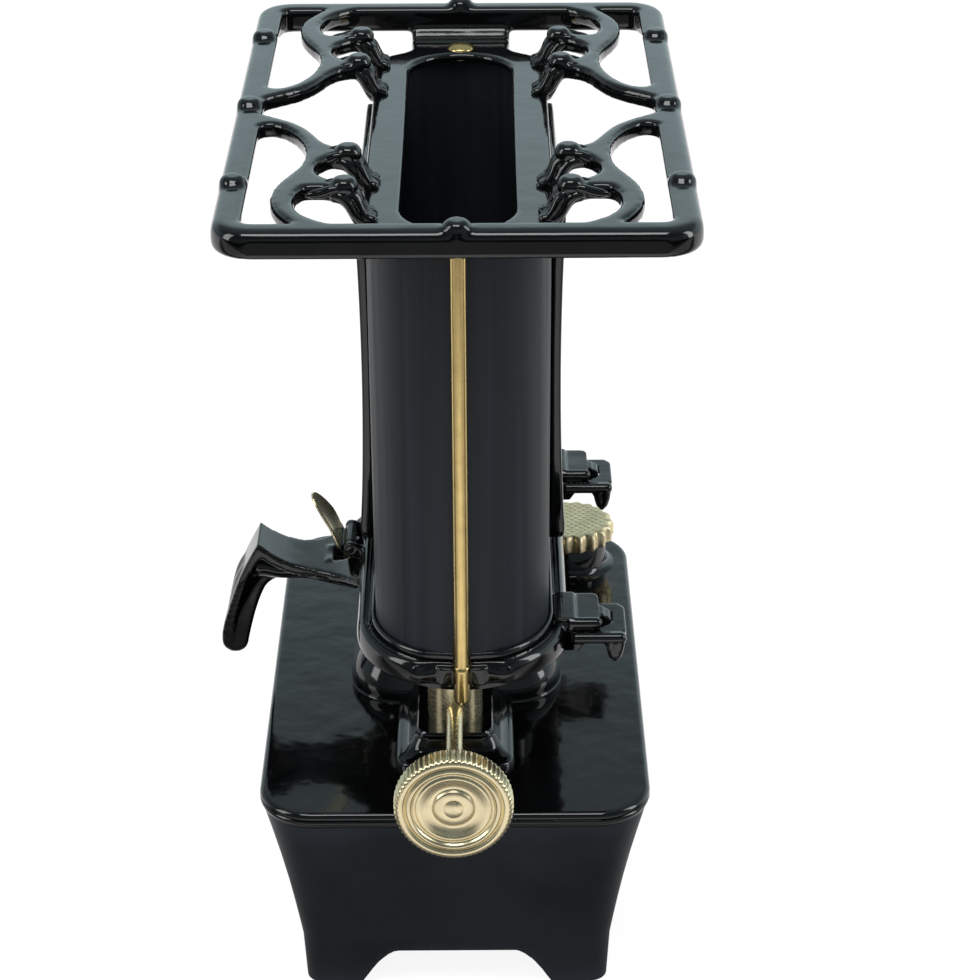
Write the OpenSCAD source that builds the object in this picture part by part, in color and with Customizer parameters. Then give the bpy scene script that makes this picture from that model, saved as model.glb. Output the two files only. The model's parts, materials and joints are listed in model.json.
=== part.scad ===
// Cast-iron wick stove: a fuel tank on four feet, a flat-wick burner with its
// raiser, and a hinged chimney that carries a scrolled pan grate.
// Millimetres, +Z up, origin on the floor under the middle of the footprint.
// +X is the hinge side, -Y is the side with the wick knob.

/* [Tank] */
// Height of the tank, floor to top plate
tank_h = 85; // [78:1:100]
// Width of the top plate
tank_w = 140.6; // [138:0.2:150]
// Depth of the top plate
tank_d = 207.4; // [204:0.2:220]
// Corner radius of the top plate
tank_r = 20; // [16:1:26]
// How far the walls lean in, top to crease
tank_taper = 12.5; // [8:0.5:15]
// Thickness of the cast walls and floor
tank_wall = 3; // [2.5:0.1:4]
// Height of the foot skirt, floor to crease
skirt_h = 19; // [17:0.5:23]
// Height of the arches between the feet
arch_h = 15; // [11:0.5:16]
// Half width of an arch at its crown, front and rear
arch_half_front = 26; // [18:1:28]
// Half width of an arch at its crown, left and right
arch_half_side = 52; // [36:1:56]
// Height of the rolled lip of the top plate
lip_h = 6; // [5:0.5:8]

/* [Burner] */
// Half width of the burner drum
drum_x = 40; // [38:0.5:43]
// Half depth of the burner drum
drum_y = 30; // [26:0.5:36]
// Height of the drum above the top plate
drum_h = 43.5; // [41:0.5:45]
// Thickness of the burner deck
deck_t = 5; // [4:0.5:7]
// Half width of the burner deck
deck_r = 34; // [32.5:0.5:35]
// Half length of the burner deck
deck_l = 90; // [82:1:90]
// Outer width of the brass wick tube
wick_tube_w = 20; // [18:0.1:20.6]
// Half length of the brass wick tube
wick_tube_l = 64; // [60:0.5:68]
// Wall of the brass wick tube
wick_tube_wall = 1; // [0.8:0.1:1.2]
// Thickness of the wick
wick_t = 3; // [2.4:0.1:3]
// Width of the wick
wick_w = 92; // [80:1:96]
// Height of the wick mouth above the top plate
mouth_z = 66; // [60:0.5:70]

/* [Wick raiser] */
// Height of the raiser shaft above the top plate
shaft_z = 17.8; // [16.5:0.1:19]
// Diameter of the shaft outside the burner
shaft_d = 6; // [5:0.1:6.4]
// Diameter of the shaft inside the burner
spindle_d = 4; // [3.6:0.1:4.4]
// Diameter of the knob
knob_d = 41.5; // [36:0.5:46]
// Thickness of the knob
knob_t = 8.5; // [7:0.1:11]
// Distance of the knob's face from the middle of the tank
knob_reach = 127; // [124:0.5:135]
// Number of flutes round the knob
flutes = 64; // [48:1:80]
// Number of teeth of a feed wheel
wheel_teeth = 12; // [8:1:16]

/* [Filler] */
// Distance of the filler from the middle of the tank, to the right
filler_x = 47; // [45:0.5:49]
// Distance of the filler from the middle of the tank, to the rear
filler_y = 79; // [75:0.5:82]
// Outer diameter of the filler cap
cap_d = 34.4; // [32:0.2:36]
// Height of the filler cap
cap_h = 8; // [7:0.5:10]
// Number of scallops round the cap
scallops = 18; // [14:1:24]
// Outer diameter of the filler neck
neck_d = 20; // [18:0.5:22]

/* [Chimney] */
// How far the chimney stands to the right of the knob's shaft
chimney_x = 3; // [2:0.1:4]
// Half width of the chimney tube
tube_r = 30.9; // [30:0.1:31.5]
// Half length of the chimney tube
tube_l = 91.3; // [88:0.1:92]
// Thickness of the tube's sheet
tube_t = 1.2; // [0.8:0.1:1.6]
// Height of the grate's collar above the top plate
collar_z = 216; // [205:1:225]
// Half width of the gallery ring
gallery_r = 38; // [37.5:0.1:38.5]
// Diameter of the tie rods
rod_d = 5.3; // [4.6:0.1:5.4]
// Distance of the tie rods from the middle of the tank
rod_y = 94; // [93.6:0.1:94.4]
// Thickness of the side struts
strut_t = 4.8; // [4:0.1:5]
// Half width of the side struts
strut_half = 10; // [7:0.5:14]
// Gap between a side strut and the tube
strut_gap = 2.4; // [1:0.1:2.6]

/* [Grate] */
// Outer width of the grate
grate_w = 155; // [150:1:170]
// Outer depth of the grate
grate_d = 234.4; // [232:0.2:240]
// Corner radius of the grate
grate_r = 13; // [12:0.5:16]
// Width of the rails
rail_w = 9.3; // [8.5:0.1:10]
// Height of the rails
rail_h = 9; // [8:0.5:10]
// Height of the rails' top above the collar
rail_up = 11.2; // [10:0.1:12]
// Thickness of the collar plate
collar_t = 3; // [2.5:0.1:3.5]
// Thickness of the scroll arms
arm_t = 5; // [4:0.5:7]
// Diameter of the pan bumps
bump_d = 8.8; // [7:0.1:9]

/* [Hinges and handle] */
// Distance of each hinge from the middle of the tank
hinge_y = 57; // [50:0.5:57]
// Distance of the hinge axis to the right of the chimney's middle
hinge_x = 51.5; // [51:0.1:53]
// Height of the hinge axis above the top plate
hinge_z = 54; // [53:0.1:55]
// Diameter of the hook in the hinge's eye
hook_d = 3.8; // [3.4:0.1:4]
// Distance of the handle's tip from the middle of the tank
handle_reach = 90; // [86:0.5:96]
// Width of the handle's flange
handle_w = 22; // [18:0.5:24]
// Width of the brass latch leaf
latch_w = 18; // [15:0.5:19]
// Length of the brass latch leaf above its pin
latch_l = 19.5; // [17:0.5:22]

/* [Hidden] */
$fn = 48;

black = "#17191b";
blue_black = "#2b2f36";
brass = "#b79a5b";

// Clearances
eps = 0.01;
free = 0.3;        // between pieces that only stand near each other
running = 0.05;    // radial, of a shaft in its bearing
seat = 0.1;        // radial, of a piece that is slipped into another

// The middle of the footprint, seen from the middle of the tank
x_shift = (handle_reach - chimney_x - grate_w / 2) / 2;
y_shift = (knob_reach - grate_d / 2) / 2;

// Tank
lip_over = 0.8;
shell_w = tank_w - 2 * lip_over;
shell_d = tank_d - 2 * lip_over;
base_w = shell_w - 2 * tank_taper;
base_d = shell_d - 2 * tank_taper;
skirt_lean = 1;
shell_h = tank_h - lip_h;
floor_z = skirt_h + tank_wall;

// Burner, heights above the top plate
tube_half = wick_tube_w / 2;
deck_z = drum_h;
drum_step = 11;
drum_wall = 3;
gallery_z = deck_z + deck_t;
wick_x = tube_half - wick_tube_wall - 0.4 - wick_t / 2;
mouth_gap = 0.4;
mouth_wall = 1;
wheel_r = wick_x - wick_t / 2 - free;
wheel_t = 3;
wheel_ys = [-30, 0, 30];
knob_rivet_h = 1.1;

// Housing between drum and knob
housing_half = 21.3;
housing_end = 77;
socket_half = 14;
socket_end = 72;
socket_z = 12;

// Filler
boss_r = 14;
boss_z = 11.7;
cap_z = boss_z + free;
cap_wall = 2;
neck_wall = 2;
gasket_t = 1;
neck_top = cap_z + cap_h - cap_wall - gasket_t;

// Gallery, heights above its underside
gallery_h = 8.4;
seat_h = 7.6;
gallery_lip_h = 10.7;
tube_z = gallery_z + seat_h;
collar_under = collar_z - collar_t;
tube_h = collar_under - tube_z;
straight = tube_l - tube_r;
gallery_l = straight + gallery_r;
lug_half = 9;
lug_end = gallery_l + 3;
rod_thread = 4;
nut_d = 5.6;
nut_h = 16;
nut_slot = nut_d + 2 * seat;
nut_top = tube_z;

// Side struts
strut_z = gallery_z + gallery_lip_h;
strut_fan = 42;

// Hinge leaves and brackets, in Y from each hinge's middle
leaf_t = 2.8;
leaf_back = 11;
leaf_front = -11;
bracket_t = 3;
bracket_back = 9;
bracket_front = -13;
bar_r = 2;
eye_x = hook_d + 2 * free;
eye_y = 7;
leaf_end = -2.5;
bracket_end = 7;

// Grate
rail_top = collar_z + rail_up;
rail_z = rail_top - rail_h;
rail_mid_x = grate_w / 2 - rail_w / 2;
rail_mid_y = grate_d / 2 - rail_w / 2;
opening_r = 19.3;
opening_l = 87;
collar_half = 31.5;
tab_half = 18.4;
finger_t = 6.4;
bump_h = 2.8;
finger_ys = [46, 76];
finger_x = 36.7;

// Latch
latch_x = -42.5;
latch_z = 55.5;
latch_t = 1;
latch_lean = 62;
latch_off = 3.2;
latch_below = 13;
latch_pin_d = 2.5;
ear_t = 3;
ear_y = 7;

// Points of an arc, and of a curve with four control points
function arc(c, r, a0, a1, n = 8) =
  [for (i = [0:n]) let (a = a0 + (a1 - a0) * i / n) c + r * [cos(a), sin(a)]];
function bow(a, b, c, d, n = 10) =
  [for (i = [0:n]) let (t = i / n, u = 1 - t)
    u * u * u * a + 3 * u * u * t * b + 3 * u * t * t * c + t * t * t * d];

module on_floor() {
  translate([x_shift, y_shift, 0]) children();
}

module on_top() {
  translate([x_shift, y_shift, tank_h]) children();
}

module at_chimney() {
  translate([x_shift + chimney_x, y_shift, tank_h]) children();
}

// A flat rounded rectangle from its half sizes
module pad(hx, hy, r) {
  square([2 * (hx - r), 2 * hy], center = true);
  if (hy > r) square([2 * hx, 2 * (hy - r)], center = true);
  for (sx = [-1, 1], sy = [-1, 1])
    translate([sx * (hx - r), sy * (hy - r)]) circle(r);
}

// A flat slot with round ends, long in Y
module slot(r, l) {
  square([2 * r, 2 * (l - r)], center = true);
  for (s = [-1, 1]) translate([0, s * (l - r)]) circle(r);
}

// Sweeps a profile round a rounded rectangle; the profile's x = 0 is the path
module frame_of(hx, hy, r) {
  quarters = [[1, 1, 0], [-1, 1, 90], [-1, -1, 180], [1, -1, 270]];
  for (q = quarters)
    translate([q[0] * (hx - r), q[1] * (hy - r), 0])
      rotate([0, 0, q[2]])
        rotate_extrude(angle = 90)
          translate([r, 0]) children();
  if (hx > r)
    for (s = [0, 1]) mirror([0, s, 0])
      translate([r - hx, hy, 0]) rotate([90, 0, 90])
        linear_extrude(2 * (hx - r)) children();
  if (hy > r)
    for (s = [0, 1]) mirror([s, 0, 0])
      translate([hx, hy - r, 0]) rotate([90, 0, 0])
        linear_extrude(2 * (hy - r)) children();
}

// Extrudes a profile drawn in X and Z along Y, centred
module along_y(w) {
  rotate([90, 0, 0]) linear_extrude(w, center = true) children();
}

// Tank
module wall_block(top_w, top_d, low_w, low_d, r, z0, z1) {
  hull() {
    translate([0, 0, z1 - eps])
      linear_extrude(eps) pad(top_w / 2, top_d / 2, r, $fn = 40);
    translate([0, 0, z0])
      linear_extrude(eps) pad(low_w / 2, low_d / 2, r - 2, $fn = 40);
  }
}

module foot_arch(half, length) {
  flare = 9;
  crown = 5;
  points = concat(
    [[half + flare, -1]],
    bow([half + 5, arch_h * 0.35], [half + 1, arch_h * 0.8],
      [half - 1, arch_h], [half - crown, arch_h], 6),
    bow([crown - half, arch_h], [1 - half, arch_h],
      [-half - 1, arch_h * 0.8], [-half - 5, arch_h * 0.35], 6),
    [[-half - flare, -1]]);
  along_y(length) polygon(points);
}

module tank_shell() {
  two = 2 * tank_wall;
  color(blue_black) on_floor() difference() {
    union() {
      wall_block(shell_w, shell_d, base_w, base_d, tank_r, skirt_h, shell_h);
      wall_block(base_w, base_d, base_w - 2 * skirt_lean,
        base_d - 2 * skirt_lean, tank_r - 2, 0, skirt_h + eps);
    }
    wall_block(shell_w - two, shell_d - two, base_w - two, base_d - two,
      tank_r - tank_wall, floor_z, shell_h + 1);
    translate([0, 0, -1]) linear_extrude(skirt_h + 1 - tank_wall / 2)
      pad(base_w / 2 - skirt_lean - tank_wall,
        base_d / 2 - skirt_lean - tank_wall, tank_r - 4 - tank_wall);
    foot_arch(arch_half_front, tank_d);
    rotate([0, 0, 90]) foot_arch(arch_half_side, tank_w);
  }
}

// Rolled lip of the top plate: round shoulder, groove and bead
module lip_profile() {
  r = 2;
  bead = 1.1;
  polygon(concat(
    [[-12, 0]],
    arc([-r, -r], r, 90, 0, 6),
    [[-0.9, -r - 0.7]],
    arc([-bead, -lip_h + 2 * bead], bead, 60, -60, 6),
    [[-0.8, -lip_h], [-12, -lip_h]]));
}

module cove_profile(r) {
  polygon(concat([[-1, -eps], [-1, r]], arc([r, r], r, 180, 270, 8), [[r, -eps]]));
}

// Raised housing that holds one end of the brass wick tube
module housing() {
  flange_t = 3;
  slope_z = 9;
  mid = (housing_end + drum_y - 8) / 2;
  half = (housing_end - drum_y + 8) / 2;
  translate([0, -mid, 0]) linear_extrude(flange_t) pad(housing_half, half, 7);
  hull() {
    translate([0, -mid, flange_t - eps])
      linear_extrude(eps) pad(housing_half - 2, half - 2, 5, $fn = 32);
    translate([0, -mid + 3, slope_z])
      linear_extrude(eps) pad(socket_half + 1, half - 5, 5, $fn = 32);
  }
  translate([0, -(socket_end + drum_y - 8) / 2, slope_z - 1])
    linear_extrude(socket_z - slope_z + 1)
      pad(socket_half, (socket_end - drum_y + 8) / 2, 6);
}

// Domed burner drum: wide at the plate, narrower where it carries the deck
module drum_shell() {
  r = 20;
  neck_z = 26;
  linear_extrude(drum_h) pad(drum_x - drum_step, drum_y - drum_step, r - drum_step);
  frame_of(drum_x, drum_y, r) polygon(concat(
    [[-drum_step - 1, 0], [0, 0]],
    bow([0, 2], [0, 9], [-5, 13], [-drum_step, neck_z], 8),
    [[-drum_step - 1, neck_z]]));
}

module tank_top() {
  key_t = 3;
  key_gap = 1.6;
  color(black) on_top() difference() {
    union() {
      translate([0, 0, -lip_h]) linear_extrude(lip_h)
        pad(tank_w / 2 - 10, tank_d / 2 - 10, tank_r - 10);
      frame_of(tank_w / 2, tank_d / 2, tank_r) lip_profile();
      translate([0, 0, -lip_h - key_t]) linear_extrude(key_t + eps)
        pad(shell_w / 2 - tank_wall - key_gap, shell_d / 2 - tank_wall - key_gap,
          tank_r - tank_wall - key_gap);
      drum_shell();
      housing();
      mirror([0, 1, 0]) housing();
      translate([filler_x, filler_y, -eps]) cylinder(r = boss_r, h = boss_z);
      translate([filler_x, filler_y, 0])
        rotate_extrude() translate([boss_r, 0]) cove_profile(3);
    }
    translate([0, 0, -lip_h - key_t - 1]) linear_extrude(lip_h + key_t + 1 - 4)
      pad(shell_w / 2 - 12, shell_d / 2 - 12, tank_r - 12);
    translate([0, 0, -1]) linear_extrude(drum_h + 2)
      pad(drum_x - drum_step - drum_wall, drum_y - drum_step - drum_wall, 6);
    translate([0, 0, -lip_h - key_t - 1]) linear_extrude(drum_h + 20)
      slot(tube_half + running, wick_tube_l + running);
    translate([filler_x, filler_y, -lip_h - 1])
      cylinder(r = neck_d / 2 + running, h = boss_z + lip_h + 2);
  }
}

// Burner
module air_slots() {
  count = 9;
  pitch = 13;
  for (s = [-1, 1], i = [0:count - 1])
    translate([s * 21, (i - (count - 1) / 2) * pitch, deck_z - 1])
      linear_extrude(deck_t + 2) rotate([0, 0, 90]) slot(2, 5);
}

module burner_deck() {
  catch_w = 10;
  catch_out = 5.8;
  catch_t = 3;
  color(black) at_chimney() difference() {
    union() {
      translate([0, 0, deck_z]) linear_extrude(deck_t) slot(deck_r, deck_l);
      translate([-deck_r - catch_out, -catch_w / 2, gallery_z - catch_t])
        cube([catch_out + 2, catch_w, catch_t]);
      for (y = [-hinge_y, hinge_y])
        translate([deck_r - 8, y + bracket_front, deck_z])
          cube([10, bracket_back - bracket_front, deck_t - 1]);
    }
    translate([-chimney_x, 0, deck_z - 1]) linear_extrude(deck_t + 2)
      slot(tube_half + seat, wick_tube_l + seat);
    air_slots();
  }
}

// One bracket beside the deck, with the eye for the hook and a short leg
module hinge_bracket(y) {
  reach = bracket_end;
  root = deck_r - hinge_x;
  clear_x = gallery_r + 1.5 - hinge_x;
  low = deck_z - hinge_z;
  width = bracket_back - bracket_front;
  mid = (bracket_back + bracket_front) / 2;
  color(black) at_chimney() translate([hinge_x, y, hinge_z]) difference() {
    union() {
      translate([0, mid, 0]) along_y(width) polygon(concat(
        [[clear_x, 0], [clear_x, low + deck_t - 1], [root + 2, low + deck_t - 1], [root + 2, low]],
        bow([root + 2, low], [clear_x + 1, low], [clear_x + 2, -7], [clear_x + 5, -bracket_t], 6),
        [[reach - 2, -bracket_t], [reach - 2, 0]]));
      translate([0, 0, -bracket_t]) linear_extrude(bracket_t) {
        translate([clear_x, bracket_front])
          square([reach - 4 - clear_x, width]);
        translate([reach - 5, mid]) pad(5, width / 2, 4);
      }
      translate([clear_x, bracket_front, -bracket_t / 2]) rotate([0, 90, 0])
        cylinder(r = bar_r, h = reach - clear_x - 2);
      translate([reach - 2, bracket_front, -bracket_t / 2]) sphere(bar_r);
      translate([0, bracket_front + 0.4, 0]) along_y(3) polygon(concat(
        bow([-1.8, -2], [0, -4.5], [0.8, -8], [2.2, -10.6], 6),
        bow([3.6, -10.8], [5.2, -9], [6.4, -6], [6.4, -2], 6)));
    }
    translate([-eye_x / 2, -eye_y / 2 - 1, -bracket_t - 3])
      cube([eye_x, eye_y, bracket_t + 4]);
  }
}

module wick_tube() {
  roof = 1;
  top = gallery_z - 2;
  bottom = -lip_h - 2;
  mouth_r = wick_t / 2 + mouth_gap + mouth_wall;
  mouth_l = wick_w / 2 + mouth_gap + mouth_wall;
  color(brass) on_top() difference() {
    union() {
      translate([0, 0, bottom]) linear_extrude(top - bottom)
        slot(tube_half, wick_tube_l);
      translate([wick_x, 0, top - eps]) linear_extrude(mouth_z - top)
        pad(mouth_r, mouth_l, 1.2);
    }
    translate([0, 0, bottom - 1]) linear_extrude(top - bottom + 1 - roof)
      slot(tube_half - wick_tube_wall, wick_tube_l - wick_tube_wall);
    translate([wick_x, 0, top - 5]) linear_extrude(mouth_z)
      pad(mouth_r - mouth_wall, mouth_l - mouth_wall, 0.4);
    translate([0, -wick_tube_l / 2, shaft_z]) rotate([90, 0, 0])
      cylinder(r = shaft_d / 2 + running, h = wick_tube_l);
    translate([0, wick_tube_l / 2, shaft_z]) rotate([-90, 0, 0])
      cylinder(r = spindle_d / 2 + running, h = wick_tube_l);
  }
}

// Sheet hood over the wick mouth that draws the air to the flame
module flame_spreader() {
  foot = gallery_z;
  rise = 22;
  half = 20;
  crest = 6;
  sheet = 1;
  long = 62;
  shape = concat(
    [[-half - 4, 0], [-half, 0]],
    bow([-half, 1], [-half, rise * 0.6], [-crest - 6, rise], [-crest, rise], 8),
    bow([crest, rise], [crest + 6, rise], [half, rise * 0.6], [half, 1], 8),
    [[half, 0], [half + 4, 0]]);
  color(brass) at_chimney() translate([0, 0, foot]) difference() {
    intersection() {
      along_y(2 * long) polygon(concat(
        [for (p = shape) p + [0, sheet]], [[half + 4, 0], [-half - 4, 0]]));
      linear_extrude(rise + 2) pad(half + 3, long, 10);
    }
    difference() {
      translate([0, 0, -1]) along_y(2 * (long - sheet - 4)) polygon(concat(
        [for (p = shape) if (abs(p[0]) < half + 1) [p[0] * 0.955, p[1]]],
        [[half * 0.955, -1], [-half * 0.955, -1]]));
    }
    translate([wick_x - chimney_x, 0, -1]) linear_extrude(rise + 4)
      pad(wick_t / 2 + mouth_gap + mouth_wall + 1.5, wick_w / 2 + 3.5, 3);
  }
}

// Raiser, drawn from its shaft's axis
module at_shaft(y) {
  translate([x_shift, y_shift + y, tank_h + shaft_z]) rotate([90, 0, 0]) children();
}

module knob() {
  r = knob_d / 2;
  flute = 0.7;
  wave = [for (i = [0:4 * flutes - 1]) let (a = i * 90 / flutes)
    (r - flute * (0.5 - 0.5 * cos(a * flutes))) * [cos(a), sin(a)]];
  color(brass) at_shaft(-knob_reach + knob_t) difference() {
    intersection() {
      linear_extrude(knob_t) polygon(wave);
      rotate_extrude() polygon([
        [0, 0], [r - 1.2, 0], [r + 0.1, 1.3], [r + 0.1, knob_t - 1.6],
        [r - 1.6, knob_t], [r * 0.85, knob_t], [r * 0.82, knob_t - 0.9],
        [r * 0.79, knob_t - 0.1], [r * 0.71, knob_t - 0.1],
        [r * 0.69, knob_t - 1.4], [r * 0.64, knob_t - 1.4],
        [r * 0.62, knob_t - 0.6], [r * 0.36, knob_t - 2.6],
        [r * 0.33, knob_t - knob_rivet_h], [0, knob_t - knob_rivet_h]]);
    }
    translate([0, 0, -1]) cylinder(r = spindle_d / 2, h = knob_t + 2);
  }
}

module knob_rivet() {
  head_r = 3.4;
  color(brass) at_shaft(-knob_reach + knob_rivet_h) intersection() {
    cylinder(r = head_r, h = knob_rivet_h);
    translate([0, 0, knob_rivet_h - 9]) sphere(9);
  }
}

module wick_shaft() {
  color(brass) {
    at_shaft(-wick_tube_l + 3)
      cylinder(d = shaft_d, h = knob_reach - knob_t - wick_tube_l + 3);
    at_shaft(wick_tube_l + 2)
      cylinder(d = spindle_d, h = 2 * wick_tube_l);
    at_shaft(-knob_reach + knob_t + 1)
      cylinder(d = spindle_d, h = knob_t - knob_rivet_h + 1);
  }
}

module feed_wheel(y) {
  root = wheel_r - 0.9;
  star = [for (i = [0:2 * wheel_teeth - 1])
    (i % 2 == 0 ? wheel_r : root) * [cos(i * 180 / wheel_teeth), sin(i * 180 / wheel_teeth)]];
  color(brass) at_shaft(y + wheel_t / 2) difference() {
    linear_extrude(wheel_t) polygon(star);
    translate([0, 0, -1]) cylinder(d = spindle_d, h = wheel_t + 2);
  }
}

module wick() {
  bottom = floor_z - tank_h + 3;
  color("#d9d2bf") on_top() translate([wick_x, 0, bottom])
    linear_extrude(mouth_z - 1 - bottom) square([wick_t, wick_w], center = true);
}

// Filler
module at_filler() {
  translate([x_shift + filler_x, y_shift + filler_y, tank_h]) children();
}

module filler_neck() {
  color(brass) at_filler() difference() {
    translate([0, 0, -lip_h - 2]) cylinder(r = neck_d / 2, h = neck_top + lip_h + 2);
    translate([0, 0, -lip_h - 3]) cylinder(r = neck_d / 2 - neck_wall, h = neck_top + lip_h + 4);
  }
}

module filler_gasket() {
  color("#3a3632") at_filler() translate([0, 0, neck_top]) difference() {
    cylinder(r = neck_d / 2, h = gasket_t);
    translate([0, 0, -1]) cylinder(r = neck_d / 2 - neck_wall, h = gasket_t + 2);
  }
}

module filler_cap() {
  r = cap_d / 2;
  lobe = 1.6;
  rim = [for (i = [0:8 * scallops - 1]) let (a = i * 45 / scallops)
    (r - lobe * (1 - abs(cos(a * scallops / 2)))) * [cos(a), sin(a)]];
  color(brass) at_filler() translate([0, 0, cap_z]) difference() {
    intersection() {
      linear_extrude(cap_h) polygon(rim);
      rotate_extrude() polygon(concat(
        [[0, 0], [r - 0.8, 0], [r + 0.1, 0.9]],
        bow([r + 0.1, cap_h - 3], [r - 0.4, cap_h - 1], [r - 2, cap_h - 0.4], [0, cap_h])));
    }
    translate([0, 0, -1]) cylinder(r = neck_d / 2 + free, h = cap_h - cap_wall + 1);
  }
}

// Chimney body
module gallery_profile() {
  inner = tube_r - 3.4 - gallery_r;
  lip = tube_r + seat - gallery_r;
  polygon(concat(
    [[inner, 0], [-0.6, 0], [0, 0.6]],
    bow([0, 3], [-0.3, 6.4], [-1.4, gallery_h], [-2.9, gallery_h], 8),
    [[-3.5, gallery_h - 1], [-4.2, gallery_h - 2], [-5, gallery_h - 1.4]],
    arc([lip + 0.8, gallery_lip_h - 0.8], 0.8, 20, 180, 6),
    [[lip, seat_h], [inner, seat_h]]));
}

// Front and rear lugs run out of the ring in hollow curves
module gallery_lug(s) {
  half_plan = concat(
    bow([17, gallery_l - 4], [13, gallery_l - 2.3], [lug_half, gallery_l - 2], [lug_half, lug_end - 4], 5),
    bow([lug_half, lug_end - 4], [lug_half, lug_end - 1.5], [lug_half - 2, lug_end],
      [lug_half - 5, lug_end], 5));
  plan = concat(half_plan, [for (i = [len(half_plan) - 1:-1:0]) [-half_plan[i][0], half_plan[i][1]]]);
  difference() {
    scale([1, s, 1]) linear_extrude(gallery_h - 1.4) polygon(plan);
    linear_extrude(gallery_h) slot(gallery_r - 4, gallery_l - 4);
  }
}

module latch_ears() {
  base = 1.5 - gallery_r;
  pin = [latch_x, latch_z - gallery_z];
  for (s = [-1, 1])
    translate([0, s * (ear_y + ear_t / 2), 0]) along_y(ear_t) polygon(concat(
      [[base, 1], [base, gallery_h - 1.5]],
      arc(pin, latch_pin_d / 2 + 1.1, 70, 235, 10)));
}

module gallery() {
  color(black) at_chimney() translate([0, 0, gallery_z]) difference() {
    union() {
      frame_of(gallery_r, gallery_l, gallery_r) gallery_profile();
      for (s = [-1, 1]) gallery_lug(s);
      for (y = [-hinge_y, hinge_y])
        translate([gallery_r - 4.5, y + leaf_front, 3])
          cube([4.5, leaf_back - leaf_front, hinge_z + free + leaf_t - gallery_z - 3]);
      latch_ears();
    }
    for (s = [-1, 1]) {
      translate([0, s * rod_y, -1]) cylinder(d = nut_slot, h = gallery_lip_h + 2);
      translate([-nut_slot / 2, s > 0 ? rod_y : -rod_y - 20, -1])
        cube([nut_slot, 20, gallery_lip_h + 2]);
    }
    translate([latch_x, 0, latch_z - gallery_z]) rotate([90, 0, 0])
      cylinder(r = latch_pin_d / 2 + running, h = 60, center = true);
  }
}

module hinge_leaf(y) {
  rim = gallery_r - hinge_x;
  width = leaf_back - leaf_front;
  mid = (leaf_back + leaf_front) / 2;
  neck = eye_y - 2 * free;
  color(black) at_chimney() translate([hinge_x, y, hinge_z]) {
    translate([0, 0, free]) linear_extrude(leaf_t) {
      translate([rim, leaf_front]) square([leaf_end - 3 - rim, width]);
      translate([leaf_end - 4, mid]) pad(4, width / 2, 2.5);
    }
    translate([rim, leaf_front + bar_r, free + bar_r]) rotate([0, 90, 0])
      cylinder(r = bar_r, h = leaf_end - 1 - rim);
    translate([leaf_end - 1, leaf_front + bar_r, free + bar_r]) sphere(bar_r);
    translate([0, -1, 0]) along_y(neck) circle(d = hook_d);
    translate([0, -1, 0]) along_y(neck)
      polygon([[leaf_end - 2, free], [0.6, free], [0.6, 1.4], [-1, leaf_t], [leaf_end - 2, free + leaf_t]]);
  }
}

// Handle: a strip that dips from the gallery, rises to a shoulder and drops,
// with a web under it. The root is forked and straddles the catch.
handle_tip = -handle_reach - chimney_x;
shoulder_x = handle_tip + 16;
shoulder_z = 57;
tip_r = 5;
tip_z = 12;
dip = [-55, 48];
root_z = gallery_z + 3;
strip_t = 4;
function handle_outer() = let (s = shoulder_x, t = handle_tip) concat(
  bow([-gallery_r, root_z], [dip[0] + 12, root_z - 2], [dip[0] + 7, dip[1]], dip, 6),
  bow(dip, [s + 13, dip[1]], [s + 6, shoulder_z - 5.5], [s, shoulder_z], 8),
  bow([s, shoulder_z], [s - 3, shoulder_z - 5], [s - 8, 43], [t + 5, 32], 6),
  bow([t + 5, 32], [t + 2.5, 24], [t, tip_z + 5], [t, tip_z], 6));
function handle_under() = let (s = shoulder_x, t = handle_tip + strip_t) concat(
  bow([t, tip_z], [t + 0.5, tip_z + 8], [t + 2.2, 25], [t + 4.6, 33], 6),
  bow([t + 4.6, 33], [t + 7, 42], [s - 1.5, 48.5], [s + 1.5, 51], 6),
  bow([s + 1.5, 51], [s + 6, 47.6], [s + 13, dip[1] - strip_t], dip - [0, strip_t], 8),
  [[-gallery_r, gallery_z]]);
function handle_inner() = let (s = shoulder_x, t = handle_tip + 2 * tip_r) concat(
  bow([t, tip_z], [t + 2.4, 23], [t + 4.8, 31], [s + 1.5, 36], 6),
  bow([s + 1.5, 36], [s + 3.5, 39.5], [s + 8, 41], [s + 15, 41], 6));
function handle_end() = arc([handle_tip + tip_r, tip_z], tip_r, 180, 350, 8);

// The strip seen from above: it spreads in hollow curves where it meets the ring
module handle_flange_plan() {
  wide = handle_w / 2;
  edge = concat(
    bow([4 - gallery_r, 2.6 * wide], [-gallery_r - 4, 2.4 * wide],
      [-gallery_r - 6, 1.3 * wide], [dip[0] - 6, wide], 8),
    [[handle_tip - 2, wide - 3]]);
  polygon(concat(edge, [for (i = [len(edge) - 1:-1:0]) [edge[i][0], -edge[i][1]]]));
}

module handle_drop_front() {
  wide = handle_w / 2;
  polygon(concat(
    [[3 * wide, 70], [3 * wide, 46], [wide + 2, 46]],
    bow([wide - 1.5, 44], [wide - 3, 34], [4, 26], [3, 4]),
    bow([-3, 4], [-4, 26], [3 - wide, 34], [1.5 - wide, 44]),
    [[-wide - 2, 46], [-3 * wide, 46], [-3 * wide, 70]]));
}

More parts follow.
